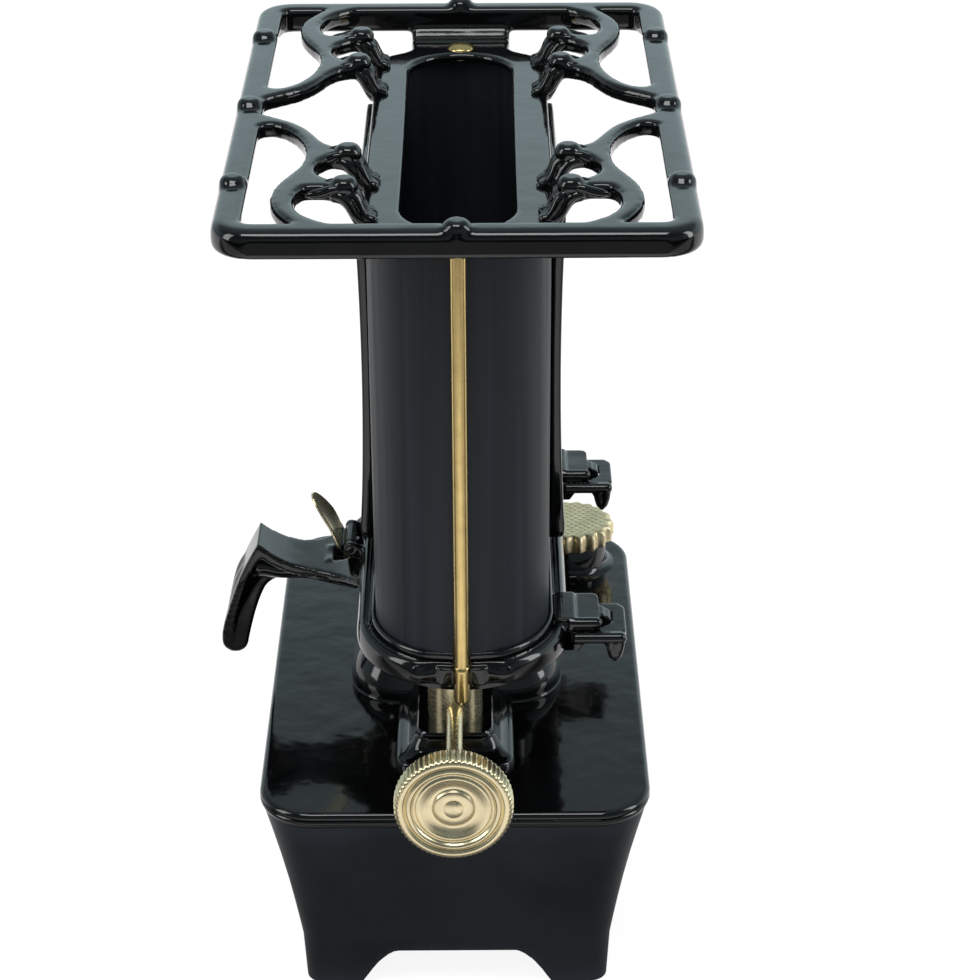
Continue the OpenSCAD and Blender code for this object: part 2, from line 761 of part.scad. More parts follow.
module handle() {
  web = 7;
  fork = 11;
  color(black) at_chimney() difference() {
    union() {
      along_y(web) polygon(concat(
        handle_outer(), handle_end(), handle_inner(), [[dip[0], 41], [-gallery_r, gallery_z]]));
      intersection() {
        along_y(3 * handle_w) polygon(concat(handle_outer(), handle_under()));
        linear_extrude(shoulder_z + 2) handle_flange_plan();
        translate([-60, 0, 0]) rotate([90, 0, 90])
          linear_extrude(80, center = true) handle_drop_front();
      }
    }
    translate([-52, -fork / 2, 38]) cube([20, fork, 20]);
  }
}

module chimney_tube() {
  color(blue_black) at_chimney() translate([0, 0, tube_z]) difference() {
    linear_extrude(tube_h) slot(tube_r, tube_l);
    translate([0, 0, -1]) linear_extrude(tube_h + 2) slot(tube_r - tube_t, tube_l - tube_t);
  }
}

// Cast strut beside the tube: a bar that stands on the gallery, bends in at
// its shoulder and fans out under the edge of the collar
module side_strut(s) {
  height = collar_under - strut_z;
  shoulder = height - 26;
  inner = tube_r + strut_gap;
  outer = inner + strut_t;
  side = concat(
    [[tube_r + 0.6, 0], [outer - 2, 0]],
    bow([outer - 0.6, 0.6], [outer, 2], [outer, 6], [outer, 14], 4),
    bow([outer, shoulder], [outer, height - 12], [tube_r + 4, height - 12],
      [tube_r + 2.8, height], 8),
    [[tube_r, height]],
    bow([tube_r, height - 8], [tube_r, height - 20], [inner, height - 18],
      [inner, shoulder - 6], 8),
    bow([inner, 16], [inner, 8], [tube_r + 0.6, 8], [tube_r + 0.6, 3], 4));
  half_front = concat(
    arc([strut_half - 3, 3], 3, 270, 360, 4),
    [[strut_half, shoulder]],
    bow([strut_half, shoulder + 10], [strut_half, height - 6],
      [strut_fan - 10, height - 4], [strut_fan, height - 1], 8),
    [[strut_fan, height]]);
  front = concat(half_front,
    [for (i = [len(half_front) - 1:-1:0]) [-half_front[i][0], half_front[i][1]]]);
  color(black) at_chimney() translate([0, 0, strut_z]) mirror([s < 0 ? 1 : 0, 0, 0])
    intersection() {
      along_y(2 * strut_fan + 2) polygon(side);
      translate([tube_r - 1, 0, 0]) rotate([90, 0, 90])
        linear_extrude(strut_t + strut_gap + 2) polygon(front);
    }
}

module tie_rod(s) {
  head_r = 5.2;
  head_h = 2.1;
  dome_r = (head_r * head_r + head_h * head_h) / (2 * head_h);
  color(brass) at_chimney() translate([0, s * rod_y, 0]) {
    translate([0, 0, nut_top - 4]) cylinder(d = rod_thread, h = 5);
    translate([0, 0, nut_top]) cylinder(d = rod_d, h = collar_z - nut_top + eps);
    translate([0, 0, collar_z]) intersection() {
      cylinder(r = head_r - 0.2, h = head_h);
      translate([0, 0, head_h - dome_r]) sphere(dome_r);
    }
  }
}

module rod_nut(s) {
  color(brass) at_chimney() translate([0, s * rod_y, nut_top - nut_h]) difference() {
    union() {
      translate([0, 0, nut_d / 2]) cylinder(d = nut_d, h = nut_h - nut_d / 2);
      translate([0, 0, nut_d / 2]) sphere(d = nut_d);
    }
    translate([0, 0, nut_h - 4]) cylinder(d = rod_thread, h = 5);
  }
}

// Grate
module rail_profile() {
  half = rail_w / 2;
  bevel = 3.8;
  polygon(concat(
    arc([-half + 1, 1], 1, 180, 270, 3),
    arc([half - 2, 2], 2, 270, 360, 4),
    bow([half, rail_h - bevel - 0.6], [half, rail_h - 0.8],
      [half - 1.6, rail_h], [half - bevel, rail_h], 6),
    [[-half + 0.8, rail_h], [-half, rail_h - 0.8]]));
}

// One quarter of the scroll work seen from above, as one outline: from the side
// rail round both fingers to the end rail, and back along the outer edge
function scroll_quarter() = let (
  side = grate_w / 2 - 8.5,
  end = grate_d / 2 - 8.7,
  tip = finger_x - 1.7,
  half = finger_t / 2,
  near = finger_ys[0],
  far = finger_ys[1])
  concat(
    bow([side, 7.5], [side - 6, 13], [56, 15], [50.5, 26]),
    bow([50.5, 26], [47.5, 32], [46, 38.5], [41, near - 5.8], 6),
    [[tip, near - half], [tip, near + half]],
    bow([tip + 1, near + half], [40, 48], [41.5, 47.4], [43.7, 50.4], 5),
    bow([43.7, 50.4], [48.4, 56], [48.4, 63], [44.5, 68], 8),
    [[41, 71], [tip + 3, far - half - 0.3], [tip, far - half], [tip, far + half], [tip + 3, far + half]],
    bow([tip + 3, far + half], [42, 76.5], [46, 75.3], [50, 77], 6),
    bow([50, 77], [54, 83], [54, 95], [48.5, end - 7]),
    bow([48.5, end - 7], [46, end - 4], [43, end - 2], [40, end], 5),
    bow([51, end], [56.5, end - 8.5], [59.8, 94], [59.8, 86]),
    bow([59.8, 86], [59.8, 72], [53, 65], [51.3, 56]),
    bow([51.3, 56], [49, 43], [52.5, 31], [57.5, 23.5]),
    bow([57.5, 23.5], [62.5, 16], [side - 2, 17.2], [side, 21], 6));

// A finger drops from a scroll arm to the collar
module finger(y) {
  top = rail_top - collar_under;
  low = top - arm_t;
  foot = opening_r + 8.7;
  translate([0, y, collar_under]) along_y(finger_t) polygon(concat(
    [[finger_x + 4, low], [finger_x + 4, top]],
    bow([finger_x - 2, top], [32, top - 1], [31.5, collar_t + 3], [foot, collar_t], 8),
    [[foot, 0]],
    bow([foot + 4.5, 0], [35, 3], [36, low - 1], [finger_x + 2, low], 6)));
}

// Raised button that a pan stands on
module bump() {
  r = bump_d / 2;
  rotate_extrude() polygon([[0, -1], [r, -1], [r, 0.4], [r - 0.4, bump_h * 0.55],
    [r - 1.2, bump_h * 0.85], [r - 2.4, bump_h], [0, bump_h]]);
}

module collar_plan() {
  shoulder = 10;
  difference() {
    union() {
      slot(collar_half, rod_y - shoulder + 3);
      square([2 * tab_half, 2 * (grate_d / 2 - rail_w)], center = true);
      for (sx = [-1, 1], sy = [-1, 1]) mirror([sx < 0 ? 1 : 0, 0]) mirror([0, sy < 0 ? 1 : 0])
        polygon(concat(
          [[tab_half - 1, 70], [collar_half, 60]],
          [[collar_half, 76]],
          bow([collar_half - 1, 82], [collar_half - 4, 88], [tab_half + 2, 88], [tab_half, 94], 8),
          [[tab_half - 1, 94]]));
    }
    slot(opening_r, opening_l);
    for (s = [-1, 1]) translate([0, s * rod_y]) circle(d = rod_d + 2 * seat);
  }
}

// Each end tab steps up over two ridges to the rail
module tab_ridges() {
  end = grate_d / 2 - rail_w;
  translate([0, 0, collar_z]) rotate([90, 0, 90])
    linear_extrude(2 * tab_half, center = true)
      polygon(arc([rod_y + 7.5, -0.3], 1.5, 0, 180, 6));
  translate([0, 0, collar_z]) rotate([90, 0, 90])
    linear_extrude(2 * tab_half, center = true) polygon([
      [rod_y + 10, -collar_t], [rod_y + 10, 0], [rod_y + 12, 2.2],
      [end + 2, rail_z - collar_z + 3], [end + 2, -collar_t + 2], [end, -collar_t]]);
}

module grate() {
  color(black) at_chimney() {
    translate([0, 0, rail_z]) frame_of(rail_mid_x, rail_mid_y, grate_r - rail_w / 2) rail_profile();
    translate([0, 0, collar_under]) linear_extrude(collar_t) collar_plan();
    for (sx = [0, 1], sy = [0, 1]) mirror([sx, 0, 0]) mirror([0, sy, 0]) {
      translate([0, 0, rail_top - arm_t]) linear_extrude(arm_t) polygon(scroll_quarter());
      for (y = finger_ys) {
        finger(y);
        translate([finger_x, y, rail_top]) bump();
      }
    }
    for (sy = [0, 1]) mirror([0, sy, 0]) tab_ridges();
    for (sx = [-1, 1], y = [-73.75, 0, 73.75]) translate([sx * rail_mid_x, y, rail_top]) bump();
    for (s = [-1, 1]) translate([0, s * rail_mid_y, rail_top]) bump();
  }
}

// Latch
module latch_pin() {
  color(black) at_chimney() translate([latch_x, 0, latch_z]) rotate([90, 0, 0])
    cylinder(d = latch_pin_d, h = 2 * (ear_y + ear_t), center = true);
}

module latch_leaf() {
  knuckle_r = latch_pin_d / 2 + 1;
  nose = 4.5;
  wide = latch_w / 2;
  edge = concat(
    bow([latch_l, 0], [latch_l, wide / 2], [latch_l - 5, wide - 1], [latch_l - 14, wide], 10),
    bow([latch_l - 14, wide], [0, wide], [-3, wide - 2], [-5, nose], 6),
    [[-latch_below, nose]]);
  plan = concat(edge, [for (i = [len(edge) - 1:-1:1]) [edge[i][0], -edge[i][1]]]);
  color(brass) at_chimney() translate([latch_x, 0, latch_z]) difference() {
    union() {
      rotate([0, latch_lean - 180, 0]) translate([0, 0, latch_off - latch_t / 2])
        linear_extrude(latch_t) polygon(plan);
      along_y(2 * (ear_y - free)) {
        circle(knuckle_r);
        rotate(180 - latch_lean) translate([1 - knuckle_r, 0])
          square([2 * knuckle_r - 2, latch_off]);
      }
    }
    along_y(2 * ear_y) circle(latch_pin_d / 2 + running);
  }
}

tank_shell();
tank_top();
burner_deck();
hinge_bracket(-hinge_y);  // hinge_bracket_front
hinge_bracket(hinge_y);  // hinge_bracket_rear
wick_tube();
flame_spreader();
filler_neck();
knob();
knob_rivet();
wick_shaft();
feed_wheel(wheel_ys[0]);  // feed_wheel_front
feed_wheel(wheel_ys[1]);  // feed_wheel_middle
feed_wheel(wheel_ys[2]);  // feed_wheel_rear
wick();
filler_gasket();
filler_cap();
gallery();
handle();
chimney_tube();
side_strut(-1);  // side_strut_left
side_strut(1);  // side_strut_right
grate();
tie_rod(-1);  // tie_rod_front
tie_rod(1);  // tie_rod_rear
rod_nut(-1);  // rod_nut_front
rod_nut(1);  // rod_nut_rear
hinge_leaf(-hinge_y);  // hinge_leaf_front
hinge_leaf(hinge_y);  // hinge_leaf_rear
latch_pin();
latch_leaf();
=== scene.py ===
"""Looks of a cast-iron wick stove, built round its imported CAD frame.

Shapes are worked out in millimetres from the middle of the tank's top plate and
put into the frame's metres by one function. The stove's front, with the wick
knob, looks along -Y, and its hinges are at +X.
"""

import json
import math

import bmesh
import bpy
import numpy as np
from bpy.props import FloatProperty, FloatVectorProperty, IntProperty, PointerProperty
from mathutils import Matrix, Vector


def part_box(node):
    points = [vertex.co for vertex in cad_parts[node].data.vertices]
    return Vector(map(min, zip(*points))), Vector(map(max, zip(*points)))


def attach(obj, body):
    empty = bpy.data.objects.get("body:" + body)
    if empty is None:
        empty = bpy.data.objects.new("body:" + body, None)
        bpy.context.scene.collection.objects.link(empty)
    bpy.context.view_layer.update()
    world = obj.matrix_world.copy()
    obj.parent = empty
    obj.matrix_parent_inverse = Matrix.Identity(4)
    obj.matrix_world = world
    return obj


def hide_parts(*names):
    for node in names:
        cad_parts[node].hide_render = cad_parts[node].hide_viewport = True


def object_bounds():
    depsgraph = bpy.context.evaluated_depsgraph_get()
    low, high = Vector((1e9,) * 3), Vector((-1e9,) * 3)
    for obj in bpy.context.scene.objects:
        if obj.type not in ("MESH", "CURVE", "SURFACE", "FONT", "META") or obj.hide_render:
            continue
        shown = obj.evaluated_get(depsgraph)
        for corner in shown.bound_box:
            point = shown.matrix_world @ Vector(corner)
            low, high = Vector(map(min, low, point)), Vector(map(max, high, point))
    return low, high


bl_info = {
    "name": "Cast-iron wick stove",
    "version": (1, 0, 0),
    "blender": (4, 5, 0),
    "location": "3D View > Sidebar > Stove",
    "description": "Dresses the CAD frame of a cast-iron wick stove",
    "category": "Object",
}

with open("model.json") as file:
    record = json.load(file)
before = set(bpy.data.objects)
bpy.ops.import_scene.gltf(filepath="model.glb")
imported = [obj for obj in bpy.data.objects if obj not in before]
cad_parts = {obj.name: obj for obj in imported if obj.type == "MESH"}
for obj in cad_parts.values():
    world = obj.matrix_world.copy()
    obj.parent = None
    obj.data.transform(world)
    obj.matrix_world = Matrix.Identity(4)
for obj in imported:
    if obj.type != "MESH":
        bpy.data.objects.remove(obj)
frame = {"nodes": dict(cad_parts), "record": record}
CAD_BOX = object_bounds()
BODY = {node: body for body, nodes in frame["record"]["behaviour"]["bodies"].items()
        for node in nodes}

TAU = 2 * math.pi
MM = 0.001
SAME = 2e-6  # metres within which two points of a mesh are one

# Driving sizes, the same as the solids have: millimetres from the middle of the top plate.
# A rounded rectangle is (half x, half y, corner radius).
FLOOR_Z = -85.0
LIP = 6.0
WALLS = (69.5, 102.9, 20.0)
PLATE = (70.3, 103.7, 20.0)
DRUM = (40.0, 30.0, 20.0)
FILLER = (47.0, 79.0)
SHAFT_Z = 17.8
CHIMNEY_X = 3.0
TUBE = (30.9, 91.3, 30.9)
TUBE_FOOT = 56.1
COLLAR_UNDER = 213.0
COLLAR_TOP = 216.0
ROD_Y = 94.0
HINGE_Y = 57.0
PIN = np.array([CHIMNEY_X - 42.5, 0, 55.5])
FINGERS_Y = (46.0, 76.0)
ENDS = (("front", -1), ("rear", 1))


def middle():
    """The middle of the tank's top plate, in millimetres from the frame's origin."""
    low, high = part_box("tank_top")
    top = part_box("tank_shell")[1][2] / MM + LIP
    return np.array([(low[0] + high[0]) / 2 / MM, (low[1] + high[1]) / 2 / MM, top])


MIDDLE = middle()


# Shapes worked out as whole arrays


def through(points, count):
    """A smooth curve through the points. Between two of them it is the cubic that leaves
    and meets each with a slope of half the step between that point's neighbours."""
    p = np.asarray(points, float)
    p = np.vstack([2 * p[0] - p[1], p, 2 * p[-1] - p[-2]])
    t = np.linspace(0, len(p) - 3 - 1e-9, count)
    i = t.astype(int)
    f = (t - i)[:, None]
    a, b, c, d = p[i], p[i + 1], p[i + 2], p[i + 3]
    return b + 0.5 * ((c - a) * f + (2 * a - 5 * b + 4 * c - d) * f ** 2
                      + (3 * (b - c) + d - a) * f ** 3)


def arc(centre, radius, start, end, count):
    """Points of an arc from one angle to another, in degrees."""
    a = np.radians(np.linspace(start, end, count))
    return np.stack([centre[0] + radius * np.cos(a), centre[1] + radius * np.sin(a)], 1)


def ring_stack(table, corner=13):
    """Rounded rectangles, one for each row (half x, half y, corner radius, x, y, z): each
    corner is a quarter circle about a point set in from both sides by the radius."""
    half_x, half_y, radius, x, y, z = np.asarray(table, float).T[..., None]
    turn = np.concatenate([np.linspace(k, k + 1, corner) for k in range(4)]) * math.pi / 2
    side_x = np.repeat([1, -1, -1, 1], corner)
    side_y = np.repeat([1, 1, -1, -1], corner)
    px = x + side_x * (half_x - radius) + radius * np.cos(turn)
    py = y + side_y * (half_y - radius) + radius * np.sin(turn)
    return np.stack([px, py, np.broadcast_to(z, px.shape)], -1)


def carried(half_x, half_y, radius, profile, x=0.0, corner=13):
    """A profile of (distance outwards, height) carried round a rounded rectangle."""
    out, height = np.asarray(profile, float).T
    table = np.stack([half_x + out, half_y + out, np.maximum(radius + out, 0.2),
                      np.full_like(out, x), np.zeros_like(out), height], 1)
    return ring_stack(table, corner)


def turned(profile, columns, waves=0, depth=0.0):
    """A profile of (radius, height, share) turned about +Z. Waves of the given depth, a
    raised cosine of the angle, cut into the radius by each row's share."""
    radius, height, share = np.asarray(profile, float).T[..., None]
    a = np.linspace(0, TAU, columns, endpoint=False)
    wave = 0.5 - 0.5 * np.cos(waves * a)
    r = radius - depth * share * wave
    return np.stack([r * np.cos(a), r * np.sin(a), np.broadcast_to(height, r.shape)], -1)


def rope(path, across, columns=14):
    """A round bar along a path of (x, y, z, radius): each ring is a circle in the plane of
    the across vector and the one square to it and to the path."""
    points, radius = path[:, :3], path[:, 3]
    along = np.gradient(points, axis=0)
    along /= np.linalg.norm(along, axis=1)[:, None]
    side = np.asarray(across, float) - (along @ np.asarray(across, float))[:, None] * along
    side /= np.linalg.norm(side, axis=1)[:, None]
    up = np.cross(along, side)
    a = np.linspace(0, TAU, columns, endpoint=False)[None, :, None]
    return points[:, None] + radius[:, None, None] * (
        side[:, None] * np.cos(a) + up[:, None] * np.sin(a))


def skin(rings, closed=False):
    """A skin over rings of points, as points and faces. Unless the rings close on
    themselves, each end draws in to a pole at its middle."""
    if not closed:
        ends = [np.broadcast_to(rings[k].mean(0), rings[k].shape)[None] for k in (0, -1)]
        rings = np.concatenate([ends[0], rings, ends[1]])
    rows, columns = rings.shape[:2]
    i = np.arange(rows if closed else rows - 1)[:, None]
    j = np.arange(columns)[None]
    here, above = i * columns, (i + 1) % rows * columns
    right = (j + 1) % columns
    corners = np.broadcast_arrays(here + j, here + right, above + right, above + j)
    return rings.reshape(-1, 3), np.stack(corners, -1).reshape(-1, 4)


def solid(name, skins):
    """A mesh in the frame's metres from skins in millimetres, with doubled points merged
    and every face turned outwards."""
    points, faces, start = [], [], 0
    for p, f in skins:
        points.append(p)
        faces.append(f + start)
        start += len(p)
    metres = (np.concatenate(points) + MIDDLE) * MM
    mesh = bpy.data.meshes.new(name)
    mesh.from_pydata(metres, [], np.concatenate(faces))
    return tidy(mesh)


def tidy(mesh):
    """Merges a mesh's doubled points, drops empty faces and turns the rest outwards."""
    work = bmesh.new()
    work.from_mesh(mesh)
    bmesh.ops.remove_doubles(work, verts=work.verts, dist=SAME)
    bmesh.ops.dissolve_degenerate(work, edges=work.edges, dist=1e-7)
    bmesh.ops.recalc_face_normals(work, faces=work.faces)
    work.to_mesh(mesh)
    work.free()
    return mesh


def copy_of(node):
    """A copy of a solid's mesh with its loose triangles merged."""
    mesh = frame["nodes"][node].data.copy()
    mesh.materials.clear()
    work = bmesh.new()
    work.from_mesh(mesh)
    bmesh.ops.remove_doubles(work, verts=work.verts, dist=SAME)
    work.to_mesh(mesh)
    work.free()
    return mesh


def joined(name, meshes):
    """One mesh that holds all the given ones."""
    work = bmesh.new()
    for mesh in meshes:
        work.from_mesh(mesh)
    whole = bpy.data.meshes.new(name)
    work.to_mesh(whole)
    work.free()
    return whole


def baked(mesh, modifiers):
    """The mesh with modifiers applied, given as (type, settings)."""
    piece = bpy.data.objects.new(mesh.name, mesh)
    bpy.context.scene.collection.objects.link(piece)
    for kind, settings in modifiers:
        modifier = piece.modifiers.new(kind.lower(), kind)
        for key, value in settings.items():
            setattr(modifier, key, value)
    held = bpy.context.evaluated_depsgraph_get()
    done = bpy.data.meshes.new_from_object(piece.evaluated_get(held))
    bpy.data.objects.remove(piece)
    return done


def poured(name, meshes, voxel, rounds, swell):
    """Runs meshes together as one casting: a voxel skin joins them, rounds of smoothing
    melt its edges as enamel does, and swell gives back the thickness that is lost."""
    return baked(joined(name, meshes), [
        ("REMESH", {"mode": "VOXEL", "voxel_size": voxel * MM}),
        ("SMOOTH", {"factor": 0.5, "iterations": rounds}),
        ("DISPLACE", {"strength": swell * MM, "mid_level": 0.0})])


def moved(mesh, rule):
    """Moves a mesh's points by a rule that takes and gives them in millimetres from the
    middle of the plate."""
    points = np.empty(len(mesh.vertices) * 3, np.float32)
    mesh.vertices.foreach_get("co", points)
    shifted = rule(points.reshape(-1, 3) / MM - MIDDLE)
    mesh.vertices.foreach_set("co", ((shifted + MIDDLE) * MM).astype(np.float32).ravel())
    mesh.update()
    return mesh


def kept_in(mesh, nodes, spare):
    """Keeps a mesh within spare millimetres of the box that holds the solids it stands
    for, and within the whole object's box."""
    boxes = [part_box(node) for node in nodes]
    low = np.maximum(np.min([box[0] for box in boxes], axis=0) - spare * MM, CAD_BOX[0])
    high = np.minimum(np.max([box[1] for box in boxes], axis=0) + spare * MM, CAD_BOX[1])
    low, high = low / MM - MIDDLE, high / MM - MIDDLE
    return moved(mesh, lambda points: np.clip(points, low, high))


def show(name, mesh, material, nodes, angle=None, spare=0.0):
    """Puts a finished mesh into the scene as a piece that stands for the nodes. Given an
    angle in degrees, edges sharper than it stay crisp."""
    kept_in(mesh, nodes, spare)
    mesh.shade_smooth()
    if angle is not None:
        mesh.set_sharp_from_angle(angle=math.radians(angle))
    mesh.materials.clear()
    mesh.materials.append(material)
    piece = bpy.data.objects.new(name, mesh)
    bpy.context.scene.collection.objects.link(piece)
    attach(piece, BODY[nodes[0]])
    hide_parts(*nodes)


# Colours and materials


def hex_colour(text):
    """sRGB hex to linear RGBA: each channel c becomes c/12.92 or ((c+0.055)/1.055)^2.4."""
    srgb = np.array([int(text[i:i + 2], 16) for i in (1, 3, 5)]) / 255
    linear = np.where(srgb <= 0.04045, srgb / 12.92, ((srgb + 0.055) / 1.055) ** 2.4)
    return (*linear.tolist(), 1.0)


def colour_property(name, text, description):
    """A colour in the sidebar panel, whose default is given as sRGB hex."""
    return FloatVectorProperty(
        name=name, description=description, subtype="COLOR", size=4,
        min=0.0, max=1.0, default=hex_colour(text))


def add(tree, kind, inputs=None, **settings):
    """Adds one shader node with its settings, and links or sets its inputs."""
    made = tree.nodes.new("ShaderNode" + kind)
    for key, value in settings.items():
        setattr(made, key, value)
    for key, value in (inputs or {}).items():
        if isinstance(value, bpy.types.NodeSocket):
            tree.links.new(value, made.inputs[key])
        else:
            made.inputs[key].default_value = value
    return made


def new_material(name):
    """An empty material with its output node; returns it, its tree and the output."""
    material = bpy.data.materials.new(name)
    material.use_nodes = True
    tree = material.node_tree
    tree.nodes.clear()
    return material, tree, add(tree, "OutputMaterial")


def place(tree):
    """Object coordinates, in metres, which a node's mesh keeps at every pose."""
    return add(tree, "TexCoord").outputs["Object"]


def shaded(tree, fac, dark, light, low, high):
    """A colour that runs from dark to light as fac goes from low to high."""
    ramp = add(tree, "ValToRGB", {"Fac": fac})
    for stop, (colour, position) in zip(ramp.color_ramp.elements, ((dark, low), (light, high))):
        stop.color = colour
        stop.position = position
    return ramp.outputs["Color"]


def dim(colour, share):
    """A colour with each linear channel times a share."""
    return (*[c * share for c in colour[:3]], 1.0)


def cells(size_mm):
    """The scale of a pattern whose cells are this many millimetres across."""
    return 1000 / size_mm


def enamel(name, colour, roughness, lump_mm, lump_height, glaze):
    """Vitreous enamel fired on cast iron: a glassy coat over black, with a slow swell from
    the sand mould under it and fine pits. Its colour clouds at random, and sharp edges are
    painted paler, a painted highlight."""
    pit_mm, cloud_mm, pit_depth = 0.9, 35, 0.01
    material, tree, out = new_material(name)
    where = place(tree)
    swell = add(tree, "TexNoise", {"Vector": where, "Scale": cells(lump_mm), "Detail": 2.0,
                                   "Roughness": 0.45})
    pits = add(tree, "TexNoise", {"Vector": where, "Scale": cells(pit_mm), "Detail": 2.0})
    cloud = add(tree, "TexNoise", {"Vector": where, "Scale": cells(cloud_mm), "Detail": 4.0})
    shape = add(tree, "NewGeometry")
    # Painted highlight: sharp edges, found by Pointiness, are painted paler
    painted_edge_highlight = add(tree, "MapRange", {"Value": shape.outputs["Pointiness"], "From Min": 0.5,
                                  "From Max": 0.62, "To Min": 0.0, "To Max": 0.6})
    cloud_and_painted_highlight = add(tree, "Math", {0: cloud.outputs["Fac"], 1: painted_edge_highlight.outputs["Result"]},
               operation="ADD")
    # Base colour: random clouding plus the painted edge highlight
    base = shaded(tree, cloud_and_painted_highlight.outputs[0], dim(colour, 0.7), dim(colour, 1.9), 0.35, 1.0)
    shine = add(tree, "MapRange", {"Value": cloud.outputs["Fac"], "From Min": 0.3,
                                   "From Max": 0.7, "To Min": roughness * 0.8,
                                   "To Max": roughness * 1.35})
    soft = add(tree, "Bump", {"Height": swell.outputs["Fac"], "Distance": lump_height * MM,
                              "Strength": 1.0})
    fine = add(tree, "Bump", {"Height": pits.outputs["Fac"], "Distance": pit_depth * MM,
                              "Strength": 1.0, "Normal": soft.outputs["Normal"]})
    shader = add(tree, "BsdfPrincipled", {
        "Base Color": base, "Roughness": shine.outputs["Result"], "IOR": 1.5,
        "Coat Weight": glaze, "Coat Roughness": 0.03, "Normal": fine.outputs["Normal"],
        "Coat Normal": soft.outputs["Normal"]})
    tree.links.new(shader.outputs[0], out.inputs["Surface"])
    return material


def stoved_sheet(name, colour, roughness):
    """Blue-black stoving paint on rolled sheet steel: half matt, with faint upright
    streaks from the rolling and fine grit in the paint."""
    streak_mm, streak_long, grit_mm = 3.5, 160, 0.8
    material, tree, out = new_material(name)
    across, upwards = cells(streak_mm), cells(streak_long)
    streak_at = add(tree, "Mapping", {"Vector": place(tree), "Scale": (across, across, upwards)})
    streaks = add(tree, "TexNoise", {"Vector": streak_at.outputs[0], "Scale": 1.0, "Detail": 4.0})
    grit = add(tree, "TexNoise", {"Vector": place(tree), "Scale": cells(grit_mm), "Detail": 2.0})
    base = shaded(tree, streaks.outputs["Fac"], dim(colour, 0.75), dim(colour, 1.25), 0.3, 0.7)
    shine = add(tree, "MapRange", {"Value": streaks.outputs["Fac"], "From Min": 0.3,
                                   "From Max": 0.7, "To Min": roughness * 0.85,
                                   "To Max": roughness * 1.2})
    bump = add(tree, "Bump", {"Height": grit.outputs["Fac"], "Distance": 0.02 * MM})
    shader = add(tree, "BsdfPrincipled", {
        "Base Color": base, "Roughness": shine.outputs["Result"], "IOR": 1.36,
        "Normal": bump.outputs["Normal"]})
    tree.links.new(shader.outputs[0], out.inputs["Surface"])
    return material


def brass(name, colour, roughness, grain_mm, depth_mm, axis=None):
    """Yellow brass, a little cloudy where hands have dulled it. grain_mm is the spacing of
    the tool's marks in X, Y and Z, and depth_mm how deep they go. Given a point of an axis
    along Y, in millimetres from the frame's origin, the marks are a lathe's rings round it,
    spaced by the first of grain_mm."""
    cloud_mm = 7
    material, tree, out = new_material(name)
    if axis is None:
        where = add(tree, "Mapping", {"Vector": place(tree),
                                      "Scale": [cells(size) for size in grain_mm]})
        marks = add(tree, "TexNoise", {"Vector": where.outputs["Vector"], "Scale": 1.0,
                                       "Detail": 3.0})
    else:
        arm = add(tree, "VectorMath", {0: place(tree), 1: [c * MM for c in axis]},
                  operation="SUBTRACT")
        flat = add(tree, "VectorMath", {0: arm.outputs[0], 1: (1, 0, 1)}, operation="MULTIPLY")
        radius = add(tree, "VectorMath", {0: flat.outputs[0]}, operation="LENGTH")
        marks = add(tree, "TexNoise", {"W": radius.outputs["Value"], "Detail": 3.0,
                                       "Scale": cells(grain_mm[0])}, noise_dimensions="1D")
    cloud = add(tree, "TexNoise", {"Vector": place(tree), "Scale": cells(cloud_mm),
                                   "Detail": 4.0})
    base = shaded(tree, cloud.outputs["Fac"], dim(colour, 0.86), colour, 0.32, 0.55)
    rough = add(tree, "MapRange", {"Value": marks.outputs["Fac"], "From Min": 0.3,
                                   "From Max": 0.7, "To Min": roughness * 0.75,
                                   "To Max": roughness * 1.4})
    bump = add(tree, "Bump", {"Height": marks.outputs["Fac"], "Distance": depth_mm * MM})
    shader = add(tree, "BsdfPrincipled", {
        "Base Color": base, "Metallic": 1.0, "Roughness": rough.outputs["Result"],
        "Normal": bump.outputs["Normal"]})
    tree.links.new(shader.outputs[0], out.inputs["Surface"])
    return material


def plain_weave(name, colour, thread_mm):
    """Woven cotton: two sets of threads cross, and each thread is fuzzy and matt. A wave
    takes in two threads, and its texture turns by 20 radians a unit at a scale of 1."""
    waves = math.pi * cells(thread_mm) / 20
    material, tree, out = new_material(name)
    up, over = (add(tree, "TexWave", {"Vector": place(tree), "Scale": waves, "Distortion": 0.6},
                    bands_direction=axis) for axis in "ZY")
    weave = add(tree, "Math", {0: up.outputs["Fac"], 1: over.outputs["Fac"]}, operation="MAXIMUM")
    base = shaded(tree, weave.outputs[0], dim(colour, 0.6), colour, 0.2, 0.9)
    bump = add(tree, "Bump", {"Height": weave.outputs[0], "Distance": 0.2 * MM})
    shader = add(tree, "BsdfPrincipled", {
        "Base Color": base, "Roughness": 0.9, "IOR": 1.45, "Normal": bump.outputs["Normal"]})
    tree.links.new(shader.outputs[0], out.inputs["Surface"])
    return material


class StoveColours(bpy.types.PropertyGroup):
    """Colours of the stove's finishes."""

    enamel: colour_property("Enamel", "#070809", "Gloss black of the castings")
    satin: colour_property("Tank walls", "#121920", "Satin black of the tank's walls")
    sheet: colour_property("Chimney", "#21262C", "Blue-black of the chimney's sheet")
    brass: colour_property("Brass", "#F3E3BA", "Polished brass")
    rod: colour_property("Rods", "#E8CC8A", "Drawn brass of the tie rods")
    cotton: colour_property("Wick", "#D9D2BF", "Unburnt cotton")
    gasket: colour_property("Gasket", "#2E2A27", "Oil-proof seal")


class StoveSizes(bpy.types.PropertyGroup):
    """Sizes of the pieces that the frame doesn't fix."""

    voxel: FloatProperty(
        name="Casting grain", description="Cell of the skin that runs castings together, in mm",
        default=0.8, min=0.6, max=2.0)
    flutes: IntProperty(
        name="Knob flutes", description="Number of flutes round the wick knob",
        default=64, min=36, max=90)
    scallops: IntProperty(
        name="Cap scallops", description="Number of scallops round the filler cap",
        default=18, min=12, max=26)


FINISH = {}


